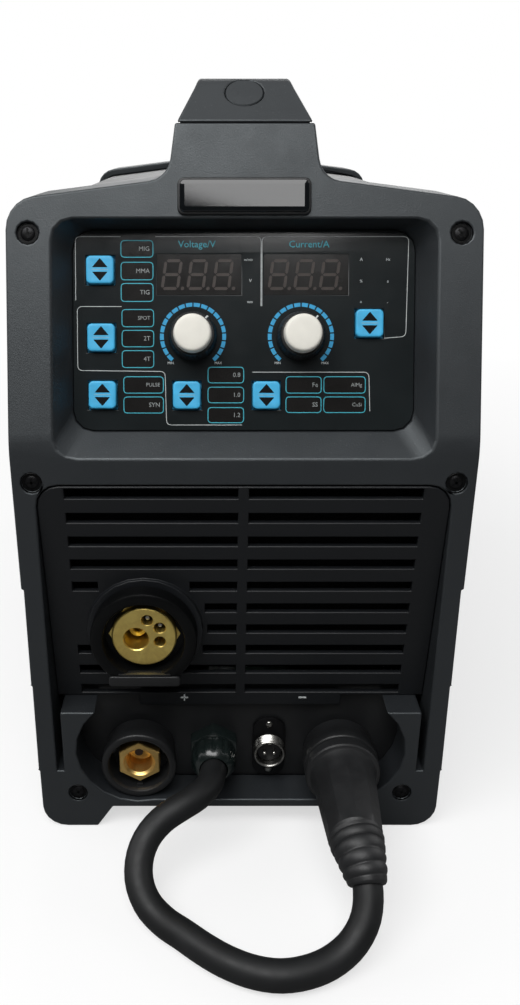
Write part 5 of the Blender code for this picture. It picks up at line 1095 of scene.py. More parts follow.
# a panel socket's ring: a rolled rim and three shallow lugs in its mouth, as on a bayonet
def socketRing(name, x, node):
    s = socket
    front, r, bore = s["front"], s["radius"], s["bore"]
    ring = turned([(bore, -0.0170), (r - 0.0012, -0.0170), (r - 0.0004, front - 0.0060),
                   (r, front - 0.0052), (r, front - 0.0010), (r - 0.0003, front - 0.0004),
                   (r - 0.0011, front), (bore + 0.0016, front), (bore + 0.0008, front - 0.0003),
                   (bore + 0.0002, front - 0.0014), (bore, front - 0.0030)], 96, closed=True)
    floor = turned([(0.0108, -0.0166), (bore + 0.0002, -0.0166), (bore + 0.0002, -0.0150),
                    (0.0108, -0.0150)], 72, closed=True)
    addTo(ring, floor)
    for turn in (30, 150, 270):
        addTo(ring, bar(bore - 0.0013, bore + 0.0004, -0.0016, 0.0016, -0.0150, front - 0.0035, 0.0003),
              turnZ(turn))
    finishPiece(moveAll(ring, onFront(x, s["z"])), name + "Ring", "case", fittingBlack,
                (node,), 38)


# the brass contact: hex outside, point up, a chamfered bore, and at its top a dark brown rod of painted
# shade for the key slot
def brassContact(name, x, node):
    s = socket
    front = s["contactFront"]
    corner = s["contactFlats"] / 2 / math.cos(math.pi / 6)
    bore = s["contactBore"]
    outer = bmesh.new()
    bmesh.ops.create_circle(outer, cap_ends=False, segments=6, radius=corner)
    bmesh.ops.subdivide_edges(outer, edges=outer.edges[:], cuts=11, use_grid_fill=False)
    hexEdges = outer.edges[:]
    hole = bmesh.ops.create_circle(outer, cap_ends=False, segments=72, radius=bore + 0.0016)
    for vert in hole["verts"]:
        vert.co.rotate(Matrix.Rotation(math.radians(90), 3, "Z"))
    holeEdges = [e for e in outer.edges if e not in hexEdges]
    bmesh.ops.bridge_loops(outer, edges=hexEdges + holeEdges)
    bmesh.ops.translate(outer, vec=(0, 0, front), verts=outer.verts)
    # the rim rolls into the bore
    inner = holeEdges
    for drop, radius in ((-0.0005, bore + 0.0012), (-0.0012, bore + 0.0003), (-0.0110, bore),
                         (-0.0140, 0.0001)):
        verts, inner = pulledOut(outer, inner)
        for vert in verts:
            angle = math.atan2(vert.co.y, vert.co.x)
            vert.co = Vector((radius * math.cos(angle), radius * math.sin(angle), front + drop))
    skirt = hexEdges
    chamfer = s["contactChamfer"]
    for drop in (-0.0006, -0.0120):
        verts, skirt = pulledOut(outer, skirt)
        for vert in verts:
            vert.co.z = front + drop
            if drop > -0.001:
                vert.co.x *= chamfer
                vert.co.y *= chamfer
    bmesh.ops.remove_doubles(outer, verts=outer.verts, dist=1e-6)
    bmesh.ops.scale(outer, vec=(1 / chamfer, 1 / chamfer, 1), verts=outer.verts)
    centre = (x, frontY, s["z"])
    look = turnedLook("brass" + name, finishes["contactBrass"], centre)
    finishPiece(moveAll(outer, onFront(x, s["z"])), name + "Contact", "case", look, (node,), 30)
    # the key slot drawn as a dark brown rod: painted shade
    notch = turned([(0.0, front - 0.0100), (0.0020, front - 0.0100), (0.0020, front + 0.00006),
                    (0.0, front + 0.00006)], 28)
    finishPiece(moveAll(notch, onFront(x, s["z"]) @ shift(0, bore - 0.0003)), name + "KeySlotShade", "case",
                notchShadeInk)


poles = (("positive", -socket["x"]), ("negative", socket["x"]))
for pole, poleX in poles:
    socketRing(pole, poleX, pole + "_socket")
for pole, poleX in poles:
    brassContact(pole, poleX, pole + "_contact")

gland = {"x": -0.013, "z": 0.035, "flats": 0.023, "nutLow": -0.0278, "nutHigh": -0.0123, "capTop": 0.0004,
         "capRadius": 0.0111, "fingers": 12}


# a gland's dome nut with finger flutes and a seal lip
def domeNut(r, low, top, bore, fingers):
    dome = turned([(bore + 0.0001, low), (r - 0.0004, low), (r, low + 0.0006), (r, top - 0.0056),
                   (r - 0.0005, top - 0.0040), (r - 0.0014, top - 0.0022), (r - 0.0026, top - 0.0008),
                   (r - 0.0036, top), (bore + 0.0004, top + 0.0002), (bore, top - 0.0010)], 96, closed=True)
    fluted(dome, lambda out, z: out > r - 0.0006 and low + 0.0004 < z < top - 0.003,
           lambda angle: 0.0007 * max(0.0, math.cos(fingers * angle)))
    return dome


# the cable gland: a hex body, a ribbed dome nut, and a seal lip round the lead
def cableGland():
    s = gland
    corner = s["flats"] / 2 / math.cos(math.pi / 6)
    nut = prism(6, corner, s["nutLow"], s["nutHigh"], 0, 0.0007)
    bead = turned([(0.0070, s["nutHigh"] - 0.001), (0.0112, s["nutHigh"] - 0.001),
                   (0.0112, s["nutHigh"] + 0.0012), (0.0070, s["nutHigh"] + 0.0012)], 48, closed=True)
    addTo(nut, bead)
    finishPiece(moveAll(nut, onFront(s["x"], s["z"])), "glandBody", "case", glandGloss,
                ("lead_gland",), 30)
    dome = domeNut(s["capRadius"], s["nutHigh"] + 0.0003, s["capTop"], 0.0067, s["fingers"])
    finishPiece(moveAll(dome, onFront(s["x"], s["z"])), "glandNut", "case", glandGloss,
                ("gland_cap",), 50)


cableGland()

remote = {"x": 0.015, "z": 0.035, "radius": 0.0083, "short": 0.0013}


# the two-pin control socket: nickel shell with a fine thread, a black insert, two pins
def remoteSocket():
    s = remote
    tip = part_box("remote_socket")[0].y
    top = frontY - tip - s["short"]
    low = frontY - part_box("remote_socket")[1].y
    flangeTop = low + 0.0018
    # the flange takes the darkened screw metal: painted shade in the connector recess
    plate = roundedPlate(0.0166, 0.0345, 0.0070, low, flangeTop, 0.0004, 8, 2)
    finishPiece(moveAll(plate, onFront(s["x"], s["z"])), "remoteFlange", "case",
                screwMetalInShade)
    shell = turned([(0.0065, flangeTop - 0.0010), (s["radius"] - 0.0006, flangeTop - 0.0010)]
                   + threadProfile(s["radius"], flangeTop + 0.0006, top - 0.0008, 0.0008, 0.0004)
                   + [(s["radius"] - 0.0006, top - 0.0002), (s["radius"] - 0.0009, top),
                      (0.0070, top), (0.0066, top - 0.0004)], 72, closed=True)
    key = bar(-0.0008, 0.0008, 0.0056, 0.0068, flangeTop, top - 0.0006, 0.0002)
    addTo(shell, key)
    look = turnedLook("nickelShell", finishes["nickel"], (s["x"], frontY, s["z"]))
    finishPiece(moveAll(shell, onFront(s["x"], s["z"])), "remoteShell", "case", look,
                ("remote_socket",), 40)
    insert = turned([(0.0, flangeTop), (0.00645, flangeTop), (0.00645, top - 0.0042),
                     (0.0061, top - 0.0038), (0.0, top - 0.0038)], 48)
    finishPiece(moveAll(insert, onFront(s["x"], s["z"])), "remoteInsert", "case", fittingBlack,
                ("remote_insert",), 40)
    pins = bmesh.new()
    for x in (-0.0024, 0.0024):
        addTo(pins, turned([(0.0, top - 0.0045), (0.00085, top - 0.0045), (0.00085, top - 0.0012),
                            (0.00055, top - 0.0008), (0.0, top - 0.0007)], 24), shift(x))
    for y in (-0.0136, 0.0136):
        head, cuts = screwHead(0.0019, 0.0008, 0.0005)
        addTo(pins, head, shift(0, y, flangeTop))
        cuts.free()
    finishPiece(moveAll(pins, onFront(s["x"], s["z"])), "remotePins", "case", look)


remoteSocket()

torch = {"x": -0.045, "z": 0.110, "flange": 0.0245, "mouth": 0.0186, "collar": 0.0166,
         "flangeTop": 0.0050, "flangeLow": -0.0040, "flangeFlat": 0.93, "clipDown": 0.0206,
         "face": 0.0150, "faceTop": 0.0005, "hexFlats": 0.034, "main": (-0.0037, -0.0011, 0.0057),
         "ports": ((0.0016, 0.0087), (0.0073, 0.0048), (0.0072, -0.0024)), "portRadius": 0.0026}


# the black flange round the torch connector, flat at its foot, and the clip there
def torchFlange():
    s = torch
    r, top, low = s["flange"], s["flangeTop"], s["flangeLow"]
    mouth = s["mouth"]
    ring = turned([(0.0153, low), (r - 0.0010, low), (r, low + 0.0010), (r, top - 0.0016),
                   (r - 0.0004, top - 0.0006), (r - 0.0013, top), (mouth + 0.0012, top),
                   (mouth + 0.0004, top - 0.0004), (mouth, top - 0.0012), (mouth - 0.0004, low + 0.0008),
                   (0.0153, low + 0.0006)], 112, closed=True)
    for vert in ring.verts:
        vert.co.y = max(vert.co.y, -r * s["flangeFlat"])
    finishPiece(moveAll(ring, onFront(s["x"], s["z"])), "torchFlange", "case", shadeAndDeepBlack,
                ("euro_flange",), 34)
    clip = roundedPlate(0.0330, 0.0052, 0.0016, top - 0.0030, top + 0.0010, 0.0006)
    addTo(clip, bar(-0.0120, 0.0120, 0.0030, 0.0038, top - 0.0030, top + 0.0006, 0.0002))
    finishPiece(moveAll(clip, onFront(s["x"], s["z"] - s["clipDown"])), "torchClip", "case", fittingBlack,
                sharp=30)


def circleLoop(bm, x, y, radius, steps):
    made = bmesh.ops.create_circle(bm, cap_ends=False, segments=steps, radius=radius)
    bmesh.ops.translate(bm, vec=(x, y, 0), verts=made["verts"])
    return made["verts"]


def loopEdges(verts):
    inside = set(verts)
    return list({e for v in verts for e in v.link_edges if e.other_vert(v) in inside})


# a ring of edges carried down through (height, radius) steps round its centre
def sunk(bm, edges, centre, drops):
    for drop, radius in drops:
        verts, edges = pulledOut(bm, edges)
        for vert in verts:
            away = Vector((vert.co.x - centre[0], vert.co.y - centre[1]))
            away = away.normalized() * radius
            vert.co = Vector((centre[0] + away.x, centre[1] + away.y, drop))


# the brass face with its main bore and three ports, each with a broken edge
def torchFace():
    s = torch
    top = s["faceTop"]
    bm = bmesh.new()
    rim = circleLoop(bm, 0, 0, s["face"] - 0.0007, 96)
    bores = [(circleLoop(bm, s["main"][0], s["main"][1], s["main"][2] + 0.0004, 48), s["main"][:2],
              s["main"][2])]
    bores += [(circleLoop(bm, x, y, s["portRadius"] + 0.0003, 32), (x, y), s["portRadius"])
              for x, y in s["ports"]]
    bmesh.ops.translate(bm, vec=(0, 0, top), verts=bm.verts)
    bmesh.ops.triangle_fill(bm, edges=bm.edges[:], use_beauty=True, use_dissolve=False)
    for verts, centre, radius in bores:
        sunk(bm, loopEdges(verts), centre, ((top - 0.0005, radius), (top - 0.0200, radius * 0.985),
                                            (top - 0.0201, 0.0002)))
    sunk(bm, loopEdges(rim), (0, 0), ((top - 0.0003, s["face"] - 0.0002), (top - 0.0009, s["face"]),
                                      (top - 0.0260, s["face"])))
    look = turnedLook("brassTorch", dict(finishes["brass"], rings=520), (s["x"], frontY, s["z"]))
    finishPiece(moveAll(bm, onFront(s["x"], s["z"])), "torchFace", "case", look,
                ("euro_body",), 30)
    # the hex nut behind, the tube to the feeder, the hex collar, and the pins in the upper ports
    nut = prism(6, s["hexFlats"] / 2 / math.cos(math.pi / 6), -0.0310, -0.0190, 30, 0.0008)
    tube = turned([(0.0032, -0.0900), (0.0072, -0.0900), (0.0080, -0.0890), (0.0080, -0.0300),
                   (0.0032, -0.0300)], 40, closed=True)
    addTo(nut, tube, shift(s["main"][0], s["main"][1]))
    collar = holedPlate([fullCircle(s["collar"], 6), fullCircle(s["face"] - 0.0002, 72)],
                        s["flangeLow"] + 0.0002, top - 0.0034)
    addTo(nut, collar)
    finishPiece(moveAll(nut, onFront(s["x"], s["z"])), "torchNut", "case", look, sharp=34)
    pins = bmesh.new()
    for x, y in s["ports"][:2]:
        addTo(pins, turned([(0.0, top - 0.0180), (0.0014, top - 0.0180), (0.0014, top - 0.0035),
                            (0.0009, top - 0.0026), (0.0, top - 0.0025)], 24), shift(x, y))
    finishPiece(moveAll(pins, onFront(s["x"], s["z"])), "torchPins", "case",
                turnedLook("pinSilver", finishes["nickel"], (s["x"], frontY, s["z"])))
    liner = turned([(0.0019, -0.0185), (0.0040, -0.0185), (0.0044, -0.0180), (0.0044, -0.0100),
                    (0.0040, -0.0094), (0.0024, -0.0094), (0.0019, -0.0100)], 40, closed=True)
    finishPiece(moveAll(liner, onFront(s["x"] + s["main"][0], s["z"] + s["main"][1])), "torchLiner",
                "case", look, sharp=34)


torchFlange()
torchFace()

slotShadeSheetSize = {"half": 0.0870, "low": 0.0790, "high": 0.2030, "near": 0.0238, "thick": 0.0012,
              "hole": 0.0216}


# a dark sheet of painted shade behind the slots, for the case's shaded inside, open round the torch
# connector
def slotShadeSheet():
    s = slotShadeSheetSize
    x, z = torch["x"], torch["z"]
    half, low, high = s["half"], s["low"], s["high"]
    outline = [(-half, low), (half, low), (half, high), (-half, high)]
    hole = [(x + u, z + v) for u, v in fullCircle(s["hole"], 64)]
    shadeSheet = holedPlate([outline, hole], -s["near"] - s["thick"], -s["near"])
    finishPiece(moveAll(shadeSheet, onFront(0, 0)), "slotShadeSheet", "case", slotShadeFinish)


slotShadeSheet()
refined("connector_plate", fittingBlack, edge=0.0003)


polaritySigns = {"lean": 7.3, "top": 0.1845, "z": 0.0667, "plus": -0.0275, "minus": 0.0307,
                 "arm": 0.0019, "stroke": 0.0007, "proud": 0.0003}


# the plus and minus signs, raised and inked, on the strip over the sockets
def polarityMarks():
    s = polaritySigns
    tip = math.radians(s["lean"])
    place = (Matrix.Translation((0, frontY, s["top"])) @ Matrix.Rotation(math.radians(90) + tip, 4, "X"))
    up = -(s["top"] - s["z"]) / math.cos(tip)
    marks = bmesh.new()
    for x, arms in ((s["plus"], (0, 90)), (s["minus"], (0,))):
        for turn in arms:
            addTo(marks, raised(roundedFace(2 * s["arm"], s["stroke"], 0.0002, 2), 0, s["proud"]),
                  place @ shift(x, up) @ turnZ(turn))
    finishPiece(marks, "polarityMarks", "case", whiteInk)


polarityMarks()
print("connectors done")

# ---- cover, door, hinges and latches


def onRight(x, y, z):
    return Matrix.Translation((x, y, z)) @ Matrix.Rotation(math.radians(90), 4, "Z") @ upright


sheetEdge = 0.00025
refined("sheet_cover", powderCoat, edge=sheetEdge)
refined("side_door", powderCoat, "door", sheetEdge)
for node in ("hinge_pin_front", "hinge_pin_rear", "base_tray", "centre_partition"):
    refined(node, zincPlate, edge=sheetEdge)

latch = {"radius": 0.0085, "high": 0.0022, "wingHigh": 0.0042, "wing": 0.0014, "shaft": 0.0030,
         "shaftFoot": -0.0048, "cam": (-0.0053, -0.0034), "wear": 0.0004}


# a quarter-turn fastener: dished head, finger wing with a coin slot, shaft and cam
def doorLatch(end):
    s = latch
    node = "door_latch_" + end
    low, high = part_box(node)
    place = onLeft(low.x + s["wingHigh"], (low.y + high.y) / 2, (low.z + high.z) / 2)
    r = s["radius"]
    head = turned([(0.0, s["shaftFoot"]), (s["shaft"], s["shaftFoot"]), (s["shaft"], 0.0), (r, 0.0),
                   (r, s["high"] - s["wear"] * 2), (r - s["wear"], s["high"] - s["wear"] * 0.5),
                   (r - s["wear"] * 2.5, s["high"]), (r - 0.0020, s["high"] - 0.0001),
                   (r - 0.0028, s["high"] - 0.0008), (0.0, s["high"] - 0.0008)], 64)
    addTo(head, bar(-r + 0.0010, r - 0.0010, -s["wing"], s["wing"], s["high"] - 0.0010, s["wingHigh"],
                    0.0005, 3))
    cam = roundedPlate(0.0195, 0.0090, 0.0028, s["cam"][0], s["cam"][1], 0.0003)
    addTo(head, cam, shift(0.00525))
    finishPiece(moveAll(head, place), node + ".head", "latch_" + end, fittingBlack,
                (node,), 34)
    # the coin slot is a dark bar of painted shade on the wing
    slot = bar(-0.0052, 0.0052, -0.00045, 0.00045, s["wingHigh"] - 0.0004, s["wingHigh"] + 0.00005)
    finishPiece(moveAll(slot, place), node + ".coinSlotShade", "latch_" + end, shadeAndDeepBlack)


for latchEnd in ("front", "rear"):
    doorLatch(latchEnd)

coverScrews = {"radius": 0.0038, "high": 0.0014, "low": 0.040, "top": 0.272, "roofSide": 0.030,
               "inset": 0.016, "pressed": 0.0012}


# pan-head screws along the cover's right foot and hem, and on its roof
def sheetScrews():
    s = coverScrews
    low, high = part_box("sheet_cover")
    flat = high.x - s["pressed"]                # the sheet beside the pressed panel
    ys = (low.y + s["inset"], (low.y + high.y) / 2, high.y - s["inset"])
    places = [onRight(flat, y, z) for y in ys for z in (s["low"], s["top"])]
    places += [Matrix.Translation((x, y, high.z)) for y in (ys[0], ys[2])
               for x in (-s["roofSide"], s["roofSide"])]
    places = [place @ turnZ(23 * i) for i, place in enumerate(places)]
    screwSet("cover", places, s["radius"], s["high"], blackScrew)


sheetScrews()
print("cover and door done")

# ---- rear fittings
rear = {"screws": ((0.0860, 0.262), (0.0860, 0.030)), "fanMiddle": (0.042, 0.112)}
rearPlaces = [onBack(side * x, z) for x, z in rear["screws"] for side in (-1, 1)]
rearPlaces = [place @ turnZ(31 * i) for i, place in enumerate(rearPlaces)]
screwSet("rear", rearPlaces, housings["screwHead"], housings["screwHigh"], blackScrew)

fan = {"hub": 0.018, "tip": 0.0415, "blades": 7, "bore": 0.0023, "pitchRoot": 52, "pitchTip": 30,
       "chordRoot": 0.0150, "chordTip": 0.0205, "camber": 0.0022, "thick": 0.0011, "sweep": 16}
refined("fan_guard", fittingBlack, edge=0.0005)
refined("fan_frame", fittingBlack, edge=0.0005)


# swept, cambered blades that flatten towards the tip, on a hub that runs on the frame's axle
def fanRotor():
    s = fan
    low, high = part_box("fan_rotor")
    depth = high.y - low.y
    middle = depth / 2
    wheel = turned([(0.0, depth), (s["hub"] - 0.0016, depth), (s["hub"] - 0.0005, depth - 0.0005),
                    (s["hub"], depth - 0.0016), (s["hub"], 0.0), (s["bore"], 0.0),
                    (s["bore"], depth - 0.0027), (0.0, depth - 0.0027)], 72)
    addTo(wheel, turned([(0.0, depth - 0.0002), (0.0100, depth - 0.0002), (0.0098, depth + 0.0002),
                         (0.0, depth + 0.0002)], 48))
    for k in range(s["blades"]):
        blade = bmesh.new()
        bmesh.ops.create_grid(blade, x_segments=9, y_segments=10, size=0.5)
        for vert in blade.verts:
            share, c = vert.co.x + 0.5, vert.co.y
            radius = s["hub"] - 0.0008 + (s["tip"] - s["hub"] + 0.0008) * share
            pitch = math.radians(s["pitchRoot"] + (s["pitchTip"] - s["pitchRoot"]) * share)
            chord = s["chordRoot"] + (s["chordTip"] - s["chordRoot"]) * share
            turn = math.radians(s["sweep"]) * share ** 1.6 + chord * c * math.cos(pitch) / radius
            rise = chord * c * math.sin(pitch) + s["camber"] * (0.5 - 2 * c * c)
            vert.co = Vector((radius * math.cos(turn), radius * math.sin(turn), middle + rise))
        bmesh.ops.recalc_face_normals(blade, faces=blade.faces)
        bmesh.ops.solidify(blade, geom=blade.faces[:], thickness=s["thick"])
        addTo(wheel, blade, turnZ(360 * k / s["blades"]))
    finishPiece(moveAll(wheel, onBack(*rear["fanMiddle"], low.y - backY)), "fanWheel", "fan",
                fittingBlack, ("fan_rotor",), 40)


fanRotor()
refined("switch_housing", fittingBlack, edge=0.0004)
refined("power_rocker", switchRed, "rocker", 0.0005, 3)

rocker = {"x": -0.045, "z": 0.245, "faceIn": 0.0003, "angle": 9, "reach": 0.0098, "dip": 0.0015,
          "rim": 0.0042, "high": 0.00008}


# the off and on signs on the two halves of the rocker
def rockerSigns():
    s = rocker
    base = (Matrix.Translation((s["x"], backY + s["faceIn"], s["z"]))
            @ Matrix.Rotation(math.radians(s["angle"]), 4, "X"))
    tip = math.atan2(s["rim"] - s["dip"], s["reach"])
    signs = bmesh.new()
    stroke = raised(roundedFace(0.0006, 0.0034, 0.0002, 2), -0.00005, s["high"])
    hoop = turned([(0.0013, -0.00005), (0.0018, -0.00005), (0.0018, s["high"]), (0.0013, s["high"])],
                  32, closed=True)
    for way, sign in ((1, stroke), (-1, hoop)):
        place = (base @ Matrix.Translation((0, (s["rim"] + s["dip"]) / 2, way * s["reach"] / 2))
                 @ Matrix.Rotation(math.pi, 4, "Z") @ upright @ Matrix.Rotation(way * tip, 4, "X"))
        addTo(signs, sign, place)
    finishPiece(signs, "rockerSigns", "rocker", whiteInk)


rockerSigns()

backGland = {"x": 0.045, "z": 0.245, "bore": 0.0045, "radius": 0.010, "flange": 0.013}


# the mains inlet: flange, hex, ribbed dome nut, and in its empty bore a dark disc of painted shade
def mainsGland():
    s = backGland
    r, bore = s["radius"], s["bore"]
    body = turned([(bore, -0.0137), (r, -0.0137), (r, 0.0003), (s["flange"], 0.0003),
                   (s["flange"], 0.0018), (s["flange"] - 0.0005, 0.0023), (bore, 0.0023)], 64, closed=True)
    addTo(body, prism(6, s["flange"] - 0.0004, 0.0020, 0.0092, 0, 0.0006))
    addTo(body, domeNut(r + 0.0012, 0.0095, 0.0222, bore, 14))
    boreShade = turned([(0.0, 0.0224), (bore, 0.0224), (bore, 0.0214), (0.0, 0.0212)], 32)
    place = onBack(s["x"], s["z"])
    finishPiece(moveAll(body, place), "mainsGland", "case", fittingBlack,
                ("mains_gland",), 40)
    finishPiece(moveAll(boreShade, place), "mainsBoreShade", "case", shadeAndDeepBlack)


mainsGland()

gasPort = {"x": -0.060, "z": 0.050, "face": 0.0003, "radius": 0.006, "hex": 0.0095, "bore": 0.0020,
           "barb": 0.0045, "neck": 0.0036}


# the barbed brass inlet for shielding gas, with its hex
def gasInlet():
    s = gasPort
    face, body, bore, barb, neck = s["face"], s["hex"] - 0.0012, s["bore"], s["barb"], s["neck"]
    tube = turned([(bore, face - 0.0120), (s["radius"], face - 0.0120), (s["radius"], face), (body, face),
                   (body, face + 0.0065), (barb, face + 0.0072), (barb, face + 0.0120),
                   (neck, face + 0.0165), (barb, face + 0.0170), (neck, face + 0.0205),
                   (barb, face + 0.0210), (0.0033, face + 0.0237), (0.0030, face + 0.0240),
                   (bore + 0.0002, face + 0.0240), (bore, face + 0.0237)], 56, closed=True)
    addTo(tube, prism(6, s["hex"], face, face + 0.0060, 0, 0.0006))
    look = turnedLook("brassGas", finishes["brass"], (s["x"], backY, s["z"]))
    finishPiece(moveAll(tube, onBack(s["x"], s["z"])), "gasInlet", "case", look,
                ("gas_inlet",), 34)


gasInlet()
refined("gas_valve", zincPlate, edge=0.0005)
print("rear fittings done")

# ---- reel and wire feeder
reelLow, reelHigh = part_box("wire_spool")
reel = {"y": (reelLow.y + reelHigh.y) / 2, "z": (reelLow.z + reelHigh.z) / 2,
        "width": reelHigh.x - reelLow.x, "radius": 0.099, "flange": 0.0025, "bore": 0.0255, "core": 0.052,
        "rim": 0.089, "wire": 0.080, "crest": 0.0006, "turns": 44}
reelPlace = onLeft(reelHigh.x, reel["y"], reel["z"])      # local Z from the inner flange outwards


# two flanges on a core; the outer flange has four windows and stiffening rings
def wireSpool():
    s = reel
    flange, width, r = s["flange"], s["width"], s["radius"]
    spool = turned([(s["bore"], 0.0), (r - 0.0006, 0.0), (r, 0.0006), (r, flange - 0.0006),
                    (r - 0.0006, flange), (s["core"], flange), (s["core"], width - flange),
                    (s["core"] - 0.0030, width - flange), (s["bore"] + 0.0030, width - flange),
                    (s["bore"] + 0.0030, width - 0.0004), (s["bore"] + 0.0004, width),
                    (s["bore"], width - 0.0004)], 128, closed=True)
    outline = fullCircle(r, 128)
    bore = fullCircle(s["bore"] + 0.0028, 64)
    windows = [arcPoints(s["rim"], a + 12, a + 78, 20) + arcPoints(s["core"] + 0.006, a + 66, a + 24, 12)
               for a in (0, 90, 180, 270)]
    plate = holedPlate([outline, bore] + windows, width - flange, width)
    addTo(spool, plate)
    for radius in (r - 0.0024, s["core"] - 0.0020):
        addTo(spool, turned([(radius, width - 0.0004), (radius + 0.0018, width - 0.0004),
                             (radius + 0.0013, width + 0.0006), (radius + 0.0005, width + 0.0006)],
                            128, closed=True))
    finishPiece(moveAll(spool, reelPlace), "wireSpool", "reel", hubPlastic,
                ("wire_spool",), 34)


# wire laid side by side: one rounded crest for each turn
def wireWinding():
    s = reel
    low, high = s["flange"] + 0.0003, s["width"] - s["flange"] - 0.0003
    pitch = (high - low) / s["turns"]
    valley = s["wire"] - s["crest"]
    profile = [(s["core"] + 0.0003, low), (valley, low)]
    for i in range(s["turns"]):
        for step in (1, 2, 3, 4):
            share = step / 4
            profile.append((valley + s["crest"] * math.sin(math.pi * share) ** 0.7,
                            low + (i + share) * pitch))
    profile += [(s["core"] + 0.0003, high)]
    coil = turned(profile, 112, closed=True)
    look = turnedLook("copperWinding", finishes["copperWire"], (0, reel["y"], reel["z"]), "X")
    finishPiece(moveAll(coil, reelPlace), "wireWinding", "reel", look,
                ("wire_winding",), 60)


# the hub that the reel turns on: a flanged stub with a threaded end for the hand nut
def spoolHub():
    s = reel
    low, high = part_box("spool_hub")
    place = onLeft(high.x, s["y"], s["z"])
    length, r = high.x - low.x, s["bore"] - 0.0006
    thread = threadProfile(0.0060, length - 0.0103, length - 0.0006, 0.0015, 0.0006)
    hub = turned([(0.0, 0.0), (r + 0.0056, 0.0), (r + 0.0060, 0.0004), (r + 0.0060, 0.0046),
                  (r + 0.0056, 0.0050), (r, 0.0050), (r, length - 0.0114), (r - 0.0009, length - 0.0105),
                  (0.0056, length - 0.0105)] + thread + [(0.0050, length), (0.0, length)], 72)
    finishPiece(moveAll(hub, place), "spoolHub", "case", fittingBlack, ("spool_hub",), 34)


# the reel's hand nut, with six lobes round its edge
def spoolNut():
    low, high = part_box("spool_nut")
    thick = high.x - low.x
    nut = turned([(0.0063, 0.0), (0.0292, 0.0), (0.0300, 0.0006), (0.0300, 0.0042), (0.0292, 0.0050),
                  (0.0222, 0.0053), (0.0200, thick - 0.0012), (0.0140, thick), (0.0068, thick),
                  (0.0063, thick - 0.0005)], 144, closed=True)
    fluted(nut, lambda out, z: out > 0.0285,
           lambda angle: 0.0028 * (0.5 - 0.5 * math.cos(6 * angle)) ** 3)
    finishPiece(moveAll(nut, onLeft(high.x, reel["y"], reel["z"])), "spoolNut", "reel_nut", fittingBlack,
                ("spool_nut",), 34)


wireSpool()
wireWinding()
spoolHub()
spoolNut()
refined("feed_plate", fittingBlack, edge=0.0006, steps=3)
refined("pressure_arm", zincPlate, "arm", 0.0006, 3)


# the drive roll: a grooved rim on the motor's shaft and a knurled knob that holds it
def driveRoll():
    low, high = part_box("drive_roll")
    length = high.x - low.x
    y, z = (low.y + high.y) / 2, (low.z + high.z) / 2
    r, near = 0.015, length - 0.0170           # where the grooved rim starts, from the motor's end
    roll = turned([(0.0, 0.0), (0.0040, 0.0), (0.0040, near), (r - 0.0004, near), (r, near + 0.0004),
                   (r, near + 0.0043), (r - 0.0007, near + 0.0050), (r, near + 0.0057), (r, near + 0.0096),
                   (r - 0.0004, near + 0.0100), (0.0100, near + 0.0100)], 96)
    knob = turned([(0.0100, near + 0.0098), (0.0100, length - 0.0010), (0.0090, length), (0.0, length)],
                  120)
    fluted(knob, lambda out, z: out > 0.0095, lambda angle: 0.0004 * (0.5 + 0.5 * math.cos(30 * angle)))
    addTo(roll, knob)
    finishPiece(moveAll(roll, onLeft(high.x, y, z)), "driveRoll", "feed_roll", zincRoll,
                ("drive_roll",), 34)


# the plain roll on the arm, with dished sides
def pressureRoll():
    low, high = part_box("pressure_roll")
    y, z = (low.y + high.y) / 2, (low.z + high.z) / 2
    wide = high.x - low.x
    press = turned([(0.0033, 0.0), (0.0107, 0.0), (0.0110, 0.0003), (0.0110, wide - 0.0003),
                    (0.0107, wide), (0.0075, wide), (0.0070, wide - 0.0006), (0.0050, wide - 0.0006),
                    (0.0046, wide), (0.0033, wide)], 80, closed=True)
    finishPiece(moveAll(press, onLeft(high.x, y, z)), "pressureRoll", "press_roll", zincRoll,
                ("pressure_roll",), 34)


# the fluted knob that sets the arm's pressure, and the scale on its stem
def tensionKnob():
    low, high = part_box("tension_knob")
    tall = high.z - low.z
    tension = turned([(0.0, 0.0), (0.0060, 0.0), (0.0060, tall - 0.0220), (0.0090, tall - 0.0195),
                      (0.0090, tall - 0.0030), (0.0083, tall - 0.0010), (0.0068, tall), (0.0, tall)], 120)
    fluted(tension, lambda out, z: out > 0.0085, lambda angle: 0.0005 * (0.5 + 0.5 * math.cos(20 * angle)))
    place = Matrix.Translation(((low.x + high.x) / 2, (low.y + high.y) / 2, low.z))
    finishPiece(moveAll(tension, place), "tensionKnob", "tensioner", fittingBlack,
                ("tension_knob",), 34)
    bands = bmesh.new()
    for i in range(4):
        addTo(bands, turned([(0.0059, 0.0018), (0.00606, 0.0018), (0.00606, 0.0022), (0.0059, 0.0022)],
                            48, closed=True), shift(z=0.0020 * i))
    finishPiece(moveAll(bands, place), "tensionScale", "tensioner", whiteInk)


# the motor's can behind the feed plate, with a groove round its rear end
def feedMotor():
    low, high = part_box("feed_motor")
    y, z = (low.y + high.y) / 2, (low.z + high.z) / 2
    long, r = high.x - low.x, 0.024
    can = turned([(0.0043, 0.0), (r - 0.0016, 0.0), (r - 0.0004, 0.0005), (r, 0.0016), (r, long - 0.0090),
                  (r - 0.0005, long - 0.0086), (r - 0.0005, long - 0.0080), (r, long - 0.0076),
                  (r, long - 0.0012), (r - 0.0012, long), (0.0, long), (0.0, 0.0150), (0.0043, 0.0150)], 96)
    look = turnedLook("zincMotor", finishes["rollSteel"], (0, y, z), "X")
    finishPiece(moveAll(can, onRight(low.x, y, z)), "feedMotor", "case", look,
                ("feed_motor",), 34)


